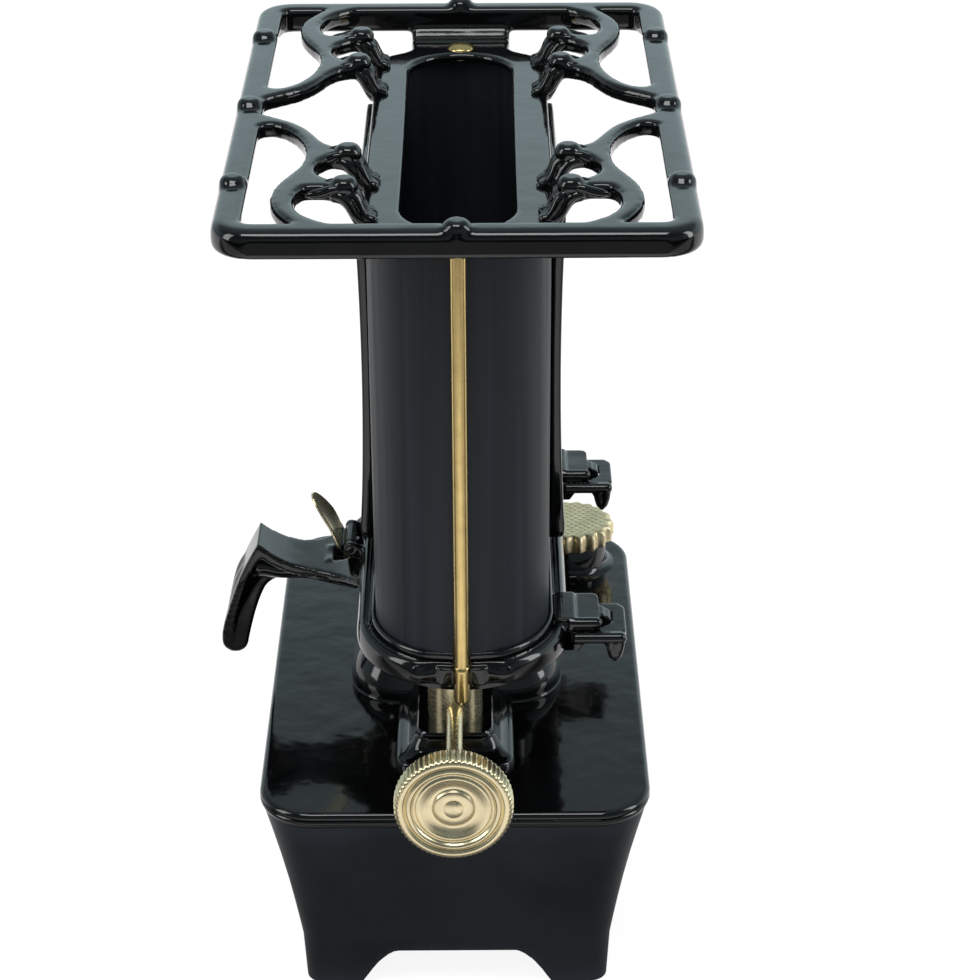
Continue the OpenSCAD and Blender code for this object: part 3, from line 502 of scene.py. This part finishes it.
class STOVE_OT_finishes(bpy.types.Operator):
    """Mixes the finishes and gives each CAD node that stays its own"""

    bl_idname = "stove.finishes"
    bl_label = "Finishes"

    def execute(self, context):
        colours = context.scene.stove_colours
        FINISH["iron_gloss"] = enamel("gloss_enamel", colours.enamel, roughness=0.09,
                                      lump_mm=14, lump_height=0.22, glaze=0.3)
        FINISH["iron_satin"] = enamel("satin_enamel", colours.satin, roughness=0.4,
                                      lump_mm=9, lump_height=0.2, glaze=0.0)
        FINISH["seal"] = enamel("oil_proof_seal", colours.gasket, roughness=0.7,
                                lump_mm=4, lump_height=0.1, glaze=0.0)
        FINISH["sheet_blue_black"] = stoved_sheet("stoved_sheet", colours.sheet, roughness=0.52)
        FINISH["brass"] = brass("polished_brass", colours.brass, roughness=0.26,
                                grain_mm=(0.9, 0.9, 0.9), depth_mm=0.002)
        FINISH["drawn"] = brass("drawn_brass_rod", colours.rod, roughness=0.22,
                                grain_mm=(0.9, 0.9, 18), depth_mm=0.002)
        FINISH["cotton"] = plain_weave("wick_cotton", colours.cotton, thread_mm=1.2)
        for part in frame["record"]["subparts"]:
            mesh = frame["nodes"][part["node"]].data
            if not mesh.materials:
                mesh.materials.append(None)
            for i in range(len(mesh.materials)):
                mesh.materials[i] = FINISH[part["material_slot"]]
        return {"FINISHED"}


class STOVE_OT_tank(bpy.types.Operator):
    """Builds the tank's walls with their arched feet, and its top plate"""

    bl_idname = "stove.tank"
    bl_label = "Tank"

    def execute(self, context):
        self.walls()
        self.plate()
        return {"FINISHED"}

    def walls(self):
        """Walls lofted up the tank: their inset shrinks from foot to crease to top, less a
        half sine that hollows them, and the bottom edge rises under each arch."""
        crease, top, wall = -66.0, -LIP, 3.0
        levels = np.array([FLOOR_Z, -80, -75, -70, -67.5, crease, -64, -60, -50, -40, -28,
                           -16, top])
        inset = np.interp(levels, [FLOOR_Z, crease, top], [-13.5, -12.5, 0.0])
        hollow = 0.9 * np.sin(np.clip((levels - crease) / (top - crease), 0, 1) * math.pi)
        outer = carried(*WALLS, np.stack([inset - hollow, levels], 1), corner=25)
        inner = carried(*WALLS, np.stack([inset - hollow - wall, levels], 1), corner=25)
        rings = self.with_sides(np.concatenate([outer, inner[::-1]]))
        rings[..., 2] = np.maximum(rings[..., 2], FLOOR_Z + self.arches(rings[0]))
        pan = carried(*WALLS, [(-14.6, -67.6), (-14.6, -64)])
        mesh = solid("tank_walls", [skin(rings, closed=True), skin(pan)])
        show("tank_walls", mesh, FINISH["iron_satin"], ["tank_shell"], angle=35)

    def with_sides(self, rings, step=2.0):
        """Adds points along the straight sides, between the corners, about a step apart."""
        after = np.roll(rings, -1, axis=1)
        gap = np.linalg.norm(after[0, :, :2] - rings[0, :, :2], axis=1)
        wanted = np.maximum(1, (gap / step).astype(int))
        which = np.repeat(np.arange(rings.shape[1]), wanted)
        share = np.concatenate([np.arange(n) / n for n in wanted])[None, :, None]
        return rings[:, which] * (1 - share) + after[:, which] * share

    def arches(self, ring):
        """Height of the bottom edge above the floor at each point of a ring, with an arch
        in each side."""
        x, y = np.abs(ring[:, 0]), np.abs(ring[:, 1])
        front = np.where(y > 86, self.arch(x, 21.0), 0.0)
        side = np.where(x > 53, self.arch(y, 47.0), 0.0)
        return np.maximum(front, side)

    def arch(self, distance, flat, high=15.0, run=14.0):
        """Full height over the flat middle, then down as 1 - (distance / run)^1.8."""
        share = np.clip((distance - flat) / run, 0, 1)
        return high * (1 - share ** 1.8)

    def plate(self):
        """The plate with its rolled lip, the domed drum, both socket housings and the
        filler boss: profiles carried round rounded rectangles."""
        lip = np.concatenate([
            [(-69, 0), (-40, 0), (-12, 0), (-3, 0)], arc((-2, -2), 2, 90, 0, 8),
            [(-0.75, -2.75)], arc((-1.1, -3.8), 1.1, 60, -60, 9), [(-0.8, -6), (-12, -6)],
            [(-12, -4), (-69, -4)]])
        plate = carried(*PLATE, lip, corner=17)
        foot = through([(0.6, -0.6), (0.3, 0.2), (0, 1.2), (0, 5), (-2.4, 10.5), (-7, 17.5),
                        (-10.4, 24), (-11, 30)], 30)
        foot = np.concatenate([foot, [(-11, 42.9), (-11.6, 43.5)]])
        drum = carried(*DRUM, foot)
        boss = turned([(18.5, -0.4, 0), (17.2, 0.1, 0), (15.6, 0.6, 0), (14.6, 1.6, 0),
                       (14, 3.4, 0), (14, 11, 0), (13.4, 11.7, 0), (9.8, 11.7, 0)], 64)
        shapes = [plate, drum, boss + (*FILLER, 0)]
        shapes += [self.housing() * (1, s, 1) for _, s in ENDS]
        mesh = solid("top_plate", [skin(rings) for rings in shapes])
        show("top_plate", mesh, FINISH["iron_gloss"], ["tank_top"], angle=42)

    def housing(self):
        """A socket housing: a flange, hollow slopes and a socket block, as rings of
        (half x, half y, radius, x, y, z) on one smooth curve."""
        rows = through([(21.6, 27.8, 7.2, 0, 49.5, -0.4), (21.3, 27.5, 7, 0, 49.5, 1.8),
                        (20.6, 26.8, 6.5, 0, 49.5, 2.9), (18.6, 25.2, 6, 0, 48.8, 3.8),
                        (16.6, 23.6, 5.6, 0, 47.6, 5.8), (15.2, 23, 5.4, 0, 46.8, 8.4),
                        (14.5, 22.9, 5.4, 0, 46.6, 9.8), (14, 22.9, 5.4, 0, 46.6, 11.2),
                        (13.4, 22.3, 5, 0, 46.6, 12)], 40)
        return ring_stack(rows)


class STOVE_OT_burner(bpy.types.Operator):
    """Builds the wick knob, the filler cap and the brass rods"""

    bl_idname = "stove.burner"
    bl_label = "Burner and brass"

    def execute(self, context):
        sizes = context.scene.stove_sizes
        colours = context.scene.stove_colours
        self.knob(sizes.flutes, colours.brass)
        self.cap(sizes.scallops, colours.brass)
        self.rods()
        return {"FINISHED"}

    def knob(self, flutes, colour):
        """The knob, turned: a fluted rim, a step, two grooves, a dish and a boss."""
        r, thick, face_y = 20.75, 8.5, -127.0
        back = [(0, 0, 0), (8, 0, 0), (r - 2, 0, 0)]
        rim = [(r - 1.2, 0.15, 0), (r - 0.5, 0.7, 0.3), (r, 1.5, 1), (r, 3, 1), (r, 5, 1),
               (r, 6.7, 1), (r - 0.4, 7.4, 0.6), (r - 1.0, 8.1, 0.2), (r - 1.8, 8.42, 0)]
        face = [(r * share, height, 0) for share, height in (
            (0.885, 8.5), (0.855, 8.45), (0.835, 8.0), (0.815, 7.7), (0.795, 7.95),
            (0.775, 8.4), (0.745, 8.48), (0.715, 8.3), (0.70, 7.6), (0.68, 7.15),
            (0.65, 7.1), (0.63, 7.5), (0.61, 7.75), (0.58, 7.6), (0.5, 6.9), (0.42, 6.3),
            (0.37, 6.15), (0.345, 6.4), (0.33, 7.1), (0.31, 7.38), (0.2, 7.42), (0, 7.42))]
        rings = turned(back + rim + face, flutes * 6, flutes, 0.8)
        front = np.stack([rings[..., 0], face_y + thick - rings[..., 2],
                          rings[..., 1] + SHAFT_Z], -1)
        finish = brass("turned_brass_knob", colour, roughness=0.24, grain_mm=(0.45,),
                       depth_mm=0.006, axis=MIDDLE + (0, face_y, SHAFT_Z))
        show("wick_knob", solid("wick_knob", [skin(front)]), finish, ["knob"], angle=50)

    def cap(self, scallops, colour):
        """The filler cap, turned and scalloped. A net presses dimples into its top: it is
        the product of two raised cosines, one along each diagonal."""
        r, pitch, dimple, crown = 17.2, 3.4, 0.24, 0.1
        rim = [(10.4, 0, 0), (r - 1.6, 0, 0.4), (r - 0.6, 0.3, 0.8), (r, 1.1, 1), (r, 3, 1),
               (r, 5.2, 1), (r - 0.3, 6.3, 1), (r - 0.9, 7.1, 0.9), (r - 1.8, 7.6, 0.6),
               (r - 2.8, 7.75, 0.2)]
        top = [(radius, 7.8, 0) for radius in np.linspace(r - 3.6, 0, 34)]
        inside = [(0, 5.9, 0), (10.4, 5.9, 0)]
        rings = turned(inside + rim + top, scallops * 12, scallops, 1.7)
        x, y, z = rings[..., 0], rings[..., 1], rings[..., 2]
        net = ((0.5 + 0.5 * np.cos((x + y) * TAU / pitch))
               * (0.5 + 0.5 * np.cos((x - y) * TAU / pitch)))
        fade = np.clip((r - 2.6 - np.hypot(x, y)) / 1.5, 0, 1) * (z > 7)
        rings[..., 2] = z - dimple * (1 - net) * fade + crown * fade
        rings = rings + (*FILLER, 12.0)
        finish = brass("pressed_brass_cap", colour, roughness=0.42, grain_mm=(1.4, 1.4, 1.4),
                       depth_mm=0.012)
        show("filler_screw_cap", solid("filler_screw_cap", [skin(rings)]), finish,
             ["filler_cap"], angle=50)

    def rods(self):
        """Each tie rod, turned, with its domed head, and the sleeve nut at its foot, which
        ends in a ball."""
        rod_r, head_r, head_h, nut_r, nut_h = 2.65, 5.2, 2.1, 2.8, 16
        foot, seat = TUBE_FOOT, COLLAR_TOP
        head = [(head_r * math.cos(a), seat + head_h * math.sin(a), 0)
                for a in np.linspace(0.02, math.pi / 2, 12)]
        rod = turned([(rod_r, foot, 0), (rod_r, foot + 1, 0), (rod_r, 140, 0),
                      (rod_r, seat - 0.1, 0), (5.0, seat - 0.05, 0), *head], 40)
        ball = [(nut_r * math.cos(a), foot - nut_h + nut_r + nut_r * math.sin(a), 0)
                for a in np.linspace(-math.pi / 2, 0, 10)]
        nut = turned([*ball, (nut_r, foot - 2, 0), (nut_r, foot - 0.6, 0), (2.4, foot, 0)], 40)
        for end, s in ENDS:
            for name, node, rings in ((f"rod_{end}", f"tie_rod_{end}", rod),
                                      (f"sleeve_nut_{end}", f"rod_nut_{end}", nut)):
                mesh = solid(name, [skin(rings + (CHIMNEY_X, s * ROD_Y, 0))])
                show(name, mesh, FINISH["drawn"], [node], angle=45)


class STOVE_OT_chimney(bpy.types.Operator):
    """Builds the chimney's sheet tube, its cast gallery, struts, handle and hinges"""

    bl_idname = "stove.chimney"
    bl_label = "Chimney"

    def execute(self, context):
        self.tube()
        self.cast("gallery", 0.55, 10, 0.12, self.slot_fills(), self.lugs_back)
        self.cast("handle", 0.55, 11, 0.15, self.handle_ribs())
        self.cast("side_strut_left", 0.7, 7, 0.12, self.backing(-1), self.waisted)
        self.cast("side_strut_right", 0.7, 7, 0.12, self.backing(1), self.waisted)
        for end, s in ENDS:
            y = HINGE_Y * s
            self.cast(f"hinge_leaf_{end}", 0.35, 5, 0.05, self.leaf_roots(y), spare=5)
            self.cast(f"hinge_bracket_{end}", 0.4, 5, 0.05, self.leg(y), self.cut_short)
        self.leaf()
        return {"FINISHED"}

    def cast(self, node, voxel, rounds, swell, extra, rule=None, spare=1.5):
        """Pours a solid and the extra skins as one, with its voxel, rounds and swell, and
        moves its points by the rule, where there is one."""
        meshes = [copy_of(node), solid("extra", [skin(rings) for rings in extra])]
        mesh = poured(f"cast_{node}", meshes, voxel, rounds, swell)
        if rule:
            mesh = moved(mesh, rule)
        show(f"cast_{node}", mesh, FINISH["iron_gloss"], [node],
             spare=spare)

    def slot_fills(self):
        """A roll across each lug and its slot, behind the sleeve nut."""
        half = [(0, 96, 51.6, 3.8), (6, 95.8, 51.6, 3.8), (11, 95, 51.8, 3.5), (17, 92, 52, 2.4)]
        roll = through([(-x, y, z, r) for x, y, z, r in half[:0:-1]] + half, 30)
        return [rope(roll * (1, s, 1, 1) + (CHIMNEY_X, 0, 0, 0), (0, 0, 1)) for _, s in ENDS]

    def lugs_back(self, points):
        """Draws the lugs' noses back beside the nuts: past 90 mm, half the distance stays,
        and the share dies out between 8 and 22 mm from the middle line."""
        far = np.abs(points[:, 1])
        near = np.clip((22 - np.abs(points[:, 0] - CHIMNEY_X)) / 14, 0, 1)
        back = np.clip(far - 90, 0, None) * 0.5 * near ** 2 * (3 - 2 * near)
        points[:, 1] -= np.sign(points[:, 1]) * back
        return points

    def handle_ribs(self):
        """Rolls of metal that fill the corners between the handle's web and its strip, run
        down beside its fork, and close the fork's outer end."""
        under_strip = [
            (-90.4, 2.6, 13, 1.2), (-89, 2.8, 22, 1.8), (-86.4, 3.4, 31, 2.6),
            (-82.6, 4.2, 40.5, 3.6), (-77.6, 4.6, 45.6, 3.8), (-70, 4.4, 44, 3.2),
            (-60, 4.4, 43.2, 2.6), (-53, 6.8, 43, 2.5), (-48, 8, 42.2, 2.4),
            (-43.5, 8, 41, 2.3), (-39.5, 8, 39.8, 2.2)]
        beside_fork = [(-56, 8, 45.6, 2), (-50, 8, 45.4, 2.2), (-45, 8, 45.4, 2.4),
                       (-39.5, 8, 45, 2.6)]
        at = (CHIMNEY_X, 0, 0, 0)
        made = [rope(through(row, 40) * (1, s, 1, 1) + at, (0, 1, 0))
                for s in (-1, 1) for row in (under_strip, beside_fork)]
        across = through([(-50.4, -6, 47, 2), (-50.4, 0, 46.6, 2), (-50.4, 6, 47, 2)], 9)
        made.append(rope(across + at, (0, 0, 1)))
        return made

    def backing(self, side):
        """A rib between a strut and the tube, up their middle, as rolls side by side."""
        roll = through([(32.4, 0, z, 1.3) for z in (62, 110, 160, 212)], 30)
        return [rope(roll * (side, 1, 1, 1) + (CHIMNEY_X, y, 0, 0), (0, 1, 0))
                for y in (-4, -2, 0, 2, 4)]

    def waisted(self, points):
        """Thins a strut towards its middle, by 2 mm times the 0.7th power of a half sine of
        its height."""
        x = points[:, 0] - CHIMNEY_X
        share = np.clip((np.abs(x) - 31.5) / 6.5, 0, 1)
        rise = np.clip((points[:, 2] - 66) / 132, 0, 1)
        points[:, 0] -= np.sign(x) * share * 2.0 * np.sin(math.pi * rise) ** 0.7
        return points

    def leg(self, y):
        """Two rolls side by side that make a bracket's front leg blunt."""
        y -= 13
        return [rope(through([(top, y, 52, 1.9), (top, y, 48.5, 1.8), (low, y, 44.8, 1.5)], 14),
                     (0, 1, 0)) for top, low in ((56.1, 56.9), (58.9, 58.2))]

    def cut_short(self, points):
        """Lifts the underside of a bracket's inner end, by up to 4.2 mm from X 48 to 45."""
        inner = np.clip((48 - points[:, 0]) / 3, 0, 1)
        points[:, 2] = np.maximum(points[:, 2], 43.2 + 4.2 * inner)
        return points

    def leaf_roots(self, y):
        """Rolls side by side that run a hinge leaf into the gallery's side."""
        reach = -9.6 * np.sign(y)
        made = []
        for x in (37.4, 38.4, 39.4, 40.4, 41.4, 42.4):
            row = through([(x, y + k * reach, 57.0, 1.6) for k in (-1, 0, 1)], 12)
            made.append(rope(row, (0, 0, 1)))
        return made

    def tube(self):
        """The tube of sheet steel: a wall of 1.2 mm carried round a slot with round ends."""
        wall = 1.2
        heights = np.linspace(TUBE_FOOT, COLLAR_UNDER, 12)
        wall_profile = [(0, z) for z in heights] + [(-wall, z) for z in heights[::-1]]
        rings = carried(*TUBE, wall_profile, x=CHIMNEY_X, corner=33)
        show("sheet_tube", solid("sheet_tube", [skin(rings, closed=True)]),
             FINISH["sheet_blue_black"], ["chimney_tube"], angle=40)

    def leaf(self):
        """The latch leaf, drawn out and dished: it bends off its own plane by the square of
        the way up and of the distance from its middle line. Its barrel is blackened."""
        drawn, long, half_width, barrel_r = 3.4, 15.5, 9, 3.6
        along = np.array([-0.469, 0, 0.883])
        out = np.array([0.883, 0, 0.469])

        def dished(points):
            up = np.clip((points - PIN) @ along - 4, 0, None) / long
            bend = (0.6 * up ** 2
                    - 0.9 * (points[:, 1] / half_width) ** 2 * np.clip(up * 3, 0, 1))
            return points - bend[:, None] * out + (drawn * up)[:, None] * along

        mesh = moved(poured("latch_tongue", [copy_of("latch_leaf")], 0.3, 3, 0.03), dished)
        show("latch_tongue", mesh, FINISH["brass"], ["latch_leaf"],
             spare=3.0)
        mesh.materials.append(FINISH["iron_gloss"])
        middles = np.empty(len(mesh.polygons) * 3, np.float32)
        mesh.polygons.foreach_get("center", middles)
        from_pin = (middles.reshape(-1, 3) / MM - MIDDLE - PIN)[:, (0, 2)]
        black = np.linalg.norm(from_pin, axis=1) < barrel_r
        mesh.polygons.foreach_set("material_index", black.astype(np.int32))


class STOVE_OT_grate(bpy.types.Operator):
    """Builds the pan grate: its rails, scroll arms, buttons and melted fingers"""

    bl_idname = "stove.grate"
    bl_label = "Grate"

    def execute(self, context):
        voxel = context.scene.stove_sizes.voxel
        body = poured("pan_grate", [copy_of("grate")], voxel, 14, 0.36)
        show("pan_grate", moved(body, self.trimmed), FINISH["iron_gloss"], ["grate"])
        strands = solid("strands", [skin(rings) for rings in self.strands()])
        show("finger_strands", poured("finger_strands", [strands], 0.42, 2, 0.05),
             FINISH["iron_gloss"], ["grate"])
        return {"FINISHED"}

    def trimmed(self, points):
        """Lifts the underside of the end tabs towards the rails, by 0.6 of the distance
        past 104 mm from the middle, and undercuts the long rails' inner faces."""
        x = points[:, 0] - CHIMNEY_X
        inner = np.clip((np.abs(x) - 66) / 2.2, 0, 1) * np.clip((73 - np.abs(x)) / 3, 0, 1)
        inner *= np.clip((104 - np.abs(points[:, 1])) / 8, 0, 1)
        points[:, 0] += np.sign(x) * inner * 0.34 * np.clip(226.4 - points[:, 2], 0, 8)
        past = np.clip(np.abs(points[:, 1]) - 104, 0, 9)
        points[:, 2] = np.maximum(points[:, 2], COLLAR_UNDER + 0.6 * past)
        return points

    def strands(self):
        """Melted strands that fan out from each button down its finger to drops on the
        collar, one more down each of its sides, and two along the arm. Each strand strays
        from its course by a sine of its number, so that no two fingers are alike."""
        made = []
        for n, (sx, sy, y) in enumerate(
                (sx, sy, y) for sx in (-1, 1) for sy in (-1, 1) for y in FINGERS_Y):
            for k, side in enumerate((-3.5, -1.8, 0.1, 1.9, 3.5)):
                out = abs(side)
                stray = 0.45 * math.sin(2.3 * k + 1.9 * n)
                fat = 1 + 0.14 * math.sin(1.7 * k + 2.6 * n)
                rows = [(37.5, side * 0.5, 228.2 - out * 0.7, 0.9),
                        (34.9, side * 0.75, 227.3 - out * 0.6, 1.35),
                        (32.7, side * 0.95 + stray, 224.7 - out * 0.45, 1.45 * fat),
                        (31.2, side * 1.1 + stray, 221.2 - out * 0.3, 1.35 * fat),
                        (29.6, side * 1.2, 218.4 - out * 0.15, 1.25),
                        (27.9 + stray, side * 1.25, 216.8, 1.5 * fat),
                        (26.9 + stray, side * 1.3, 216.1, 1.2)]
                made.append(self.strand(rows, sx, sy, y))
            for side in (-1, 1):
                rows = [(48.6, side * 3.0, 225.2, 0.8), (46.5, side * 3.1, 225.3, 1.5),
                        (43.2, side * 3.2, 226, 1.6), (40.6, side * 3.3, 227, 1.4),
                        (38.2, side * 3.2, 227.4, 0.9)]
                made.append(self.strand(rows, sx, sy, y))
                stray = 0.4 * math.sin(2.1 * n + side)
                rows = [(41, side * 3.2, 225, 1.0), (37.6, side * 3.4, 224.4, 1.5),
                        (35.2, side * 3.5 + stray, 221.8, 1.55), (33.6, side * 3.8, 218.8, 1.4),
                        (31.4, side * 4.0, 216.8, 1.4), (30 + stray, side * 4.2, 216.2, 1.1)]
                made.append(self.strand(rows, sx, sy, y))
        return made

    def strand(self, rows, sx, sy, y):
        """One strand on a smooth curve, set on the finger at y, on one side and end."""
        path = through(rows, 34) + (0, y, 0, 0)
        return rope(path * (sx, sy, 1, 1) + (CHIMNEY_X, 0, 0, 0), (0, 1, 0))


class STOVE_OT_stage(bpy.types.Operator):
    """Adds the pale floor, the soft lamps, the white surround and the camera"""

    bl_idname = "stove.stage"
    bl_label = "Stage"

    # A painted reflection, seen only by glossy rays: how bright polished pieces see the sweep,
    # by its distance in metres along Y, painted bright in front of the knob and painted dark on
    # both sides of that band
    PAINTED_REFLECTION_BANDS = ((-0.95, 0.2), (-0.7, 0.25), (-0.66, 1.0), (-0.22, 1.0),
             (-0.19, 0.25), (-0.12, 0.1), (-0.04, 0.4), (0.06, 0.95))

    def execute(self, context):
        scene = context.scene
        scene.view_settings.view_transform = "Standard"
        self.floor(scene)
        self.surround(scene)
        for name, place_m, target, size, power in (
                ("lamp_left", (-1.3, -0.5, 0.9), (0, 0, 0.15), (0.5, 1.2), 7.0),
                ("lamp_right", (1.4, -0.3, 0.8), (0, 0, 0.15), (0.4, 1.2), 7.0),
                ("lamp_top", (-0.1, -0.5, 1.6), (0, 0, 0.2), (0.9, 0.5), 8.0)):
            self.lamp(scene, name, place_m, target, size, power)
        camera = bpy.data.objects.new("camera", bpy.data.cameras.new("camera"))
        camera.data.lens = 98.53
        camera.data.sensor_width = 36.0
        camera.location = (0.015815, -0.883882, 0.630838)
        camera.rotation_euler = [math.radians(a) for a in (62.0976, 0.2025, -0.2491)]
        scene.collection.objects.link(camera)
        scene.camera = camera
        return {"FINISHED"}

    def lamp(self, scene, name, place_m, target, size, power):
        """A soft box of the given width and height that faces the target."""
        light = bpy.data.lights.new(name, "AREA")
        light.shape = "RECTANGLE"
        light.size, light.size_y = size
        light.energy = power
        lamp = bpy.data.objects.new(name, light)
        back = Vector(place_m) - Vector(target)
        lamp.rotation_euler = back.to_track_quat("Z", "Y").to_euler()
        lamp.location = place_m
        scene.collection.objects.link(lamp)

    def floor(self, scene):
        """A white sweep. It shows white to the camera where nothing shades it. Glossy rays
        see a painted reflection on it, bright in front of the knob and painted dark beside it, by
        the table of bands above, at half strength aside of the stove's front."""
        half = 8.0
        mesh = bpy.data.meshes.new("floor")
        mesh.from_pydata([(-half, -half, 0), (half, -half, 0), (half, half, 0), (-half, half, 0)],
                         [], [(0, 1, 2, 3)])
        floor = bpy.data.objects.new("floor", mesh)
        material, tree, out = new_material("white_paper_sweep")
        path = add(tree, "LightPath").outputs
        paper = add(tree, "BsdfDiffuse", {"Color": hex_colour("#EDEDED")})
        axes = add(tree, "SeparateXYZ", {0: place(tree)})
        along = add(tree, "MapRange", {"Value": axes.outputs["Y"], "From Min": -1.0,
                                       "From Max": 0.2})
        # Painted reflection: bright and dark bands along Y, which only glossy rays see
        painted_reflection_ramp = add(tree, "ValToRGB", {"Fac": along.outputs["Result"]})
        for y, level in self.PAINTED_REFLECTION_BANDS:
            stop = painted_reflection_ramp.color_ramp.elements.new((y + 1.0) / 1.2)
            stop.color = (level, level, level, 1.0)
        white = add(tree, "Emission", {"Color": (1, 1, 1, 1), "Strength": 0.9})
        soft = add(tree, "BsdfDiffuse", {"Color": hex_colour("#808080")})
        shown = add(tree, "AddShader", {0: white.outputs[0], 1: soft.outputs[0]})
        aside = add(tree, "Math", {0: axes.outputs["X"]}, operation="ABSOLUTE")
        facing = add(tree, "MapRange", {"Value": aside.outputs[0], "From Min": 0.1,
                                        "From Max": 0.35, "To Min": 1.0, "To Max": 0.5})
        behind = add(tree, "MapRange", {"Value": axes.outputs["Y"], "From Min": -0.15,
                                        "From Max": 0.0})
        share = add(tree, "Math", {0: facing.outputs[0], 1: behind.outputs[0]},
                    operation="MAXIMUM")
        # The sweep glows with the painted reflection for glossy rays
        painted_reflection = add(tree, "Emission", {"Color": painted_reflection_ramp.outputs["Color"],
                                          "Strength": share.outputs[0]})
        keen = add(tree, "Math", {0: path["Is Glossy Ray"], 1: path["Is Transmission Ray"]},
                   operation="MAXIMUM")
        first = add(tree, "MixShader", {0: path["Is Camera Ray"], 1: paper.outputs[0],
                                        2: shown.outputs[0]})
        pick = add(tree, "MixShader", {0: keen.outputs[0], 1: first.outputs[0],
                                       2: painted_reflection.outputs[0]})
        tree.links.new(pick.outputs[0], out.inputs["Surface"])
        mesh.materials.append(material)
        scene.collection.objects.link(floor)

    def surround(self, scene):
        """White to the camera. Glossy rays see a sweep of hazy daylight that is bright low
        down and dims above, towards the front and to the left, as in a studio."""
        world = bpy.data.worlds.new("studio")
        world.use_nodes = True
        tree = world.node_tree
        tree.nodes.clear()
        out = add(tree, "OutputWorld")
        path = add(tree, "LightPath").outputs
        axes = add(tree, "SeparateXYZ", {0: add(tree, "TexCoord").outputs["Generated"]})
        fall = add(tree, "MapRange", {"Value": axes.outputs["Z"], "From Min": 0.38,
                                      "From Max": 0.56, "To Min": 0.95, "To Max": 0.38})
        away = add(tree, "MapRange", {"Value": axes.outputs["Y"], "From Min": -0.6,
                                      "From Max": 0.3, "To Min": 0.25, "To Max": 1.0})
        left = add(tree, "MapRange", {"Value": axes.outputs["X"], "From Min": -0.9,
                                      "From Max": -0.1, "To Min": 0.5, "To Max": 1.0})
        part = add(tree, "Math", {0: fall.outputs[0], 1: away.outputs[0]}, operation="MULTIPLY")
        both = add(tree, "Math", {0: part.outputs[0], 1: left.outputs[0]}, operation="MULTIPLY")
        sweep = add(tree, "Background", {"Color": hex_colour("#E2F9FF"),
                                         "Strength": both.outputs[0]})
        bright = add(tree, "Math", {0: path["Is Camera Ray"], 1: 0.55, 2: 0.45},
                     operation="MULTIPLY_ADD")
        fill = add(tree, "Background", {"Color": (1, 1, 1, 1), "Strength": bright.outputs[0]})
        keen = add(tree, "Math", {0: path["Is Glossy Ray"], 1: path["Is Transmission Ray"]},
                   operation="MAXIMUM")
        pick = add(tree, "MixShader", {0: keen.outputs[0], 1: fill.outputs[0],
                                       2: sweep.outputs[0]})
        tree.links.new(pick.outputs[0], out.inputs["Surface"])
        scene.world = world


class STOVE_PT_panel(bpy.types.Panel):
    """Lists the stove's sizes, colours and pieces"""

    bl_idname = "STOVE_PT_panel"
    bl_label = "Wick stove"
    bl_space_type = "VIEW_3D"
    bl_region_type = "UI"
    bl_category = "Stove"

    def draw(self, context):
        for group in (context.scene.stove_sizes, context.scene.stove_colours):
            column = self.layout.column()
            for key in group.__annotations__:
                column.prop(group, key)
        for operator in PIECES:
            self.layout.operator(operator.bl_idname)


PIECES = (STOVE_OT_stage, STOVE_OT_finishes, STOVE_OT_tank, STOVE_OT_burner,
          STOVE_OT_chimney, STOVE_OT_grate)
CLASSES = (StoveColours, StoveSizes, *PIECES, STOVE_PT_panel)


def register():
    for cls in CLASSES:
        bpy.utils.register_class(cls)
    bpy.types.Scene.stove_colours = PointerProperty(type=StoveColours)
    bpy.types.Scene.stove_sizes = PointerProperty(type=StoveSizes)


def unregister():
    del bpy.types.Scene.stove_sizes
    del bpy.types.Scene.stove_colours
    for cls in reversed(CLASSES):
        bpy.utils.unregister_class(cls)


def main():
    register()
    for operator in PIECES:
        group, name = operator.bl_idname.split(".")
        getattr(getattr(bpy.ops, group), name)()


if __name__ == "__main__":
    main()
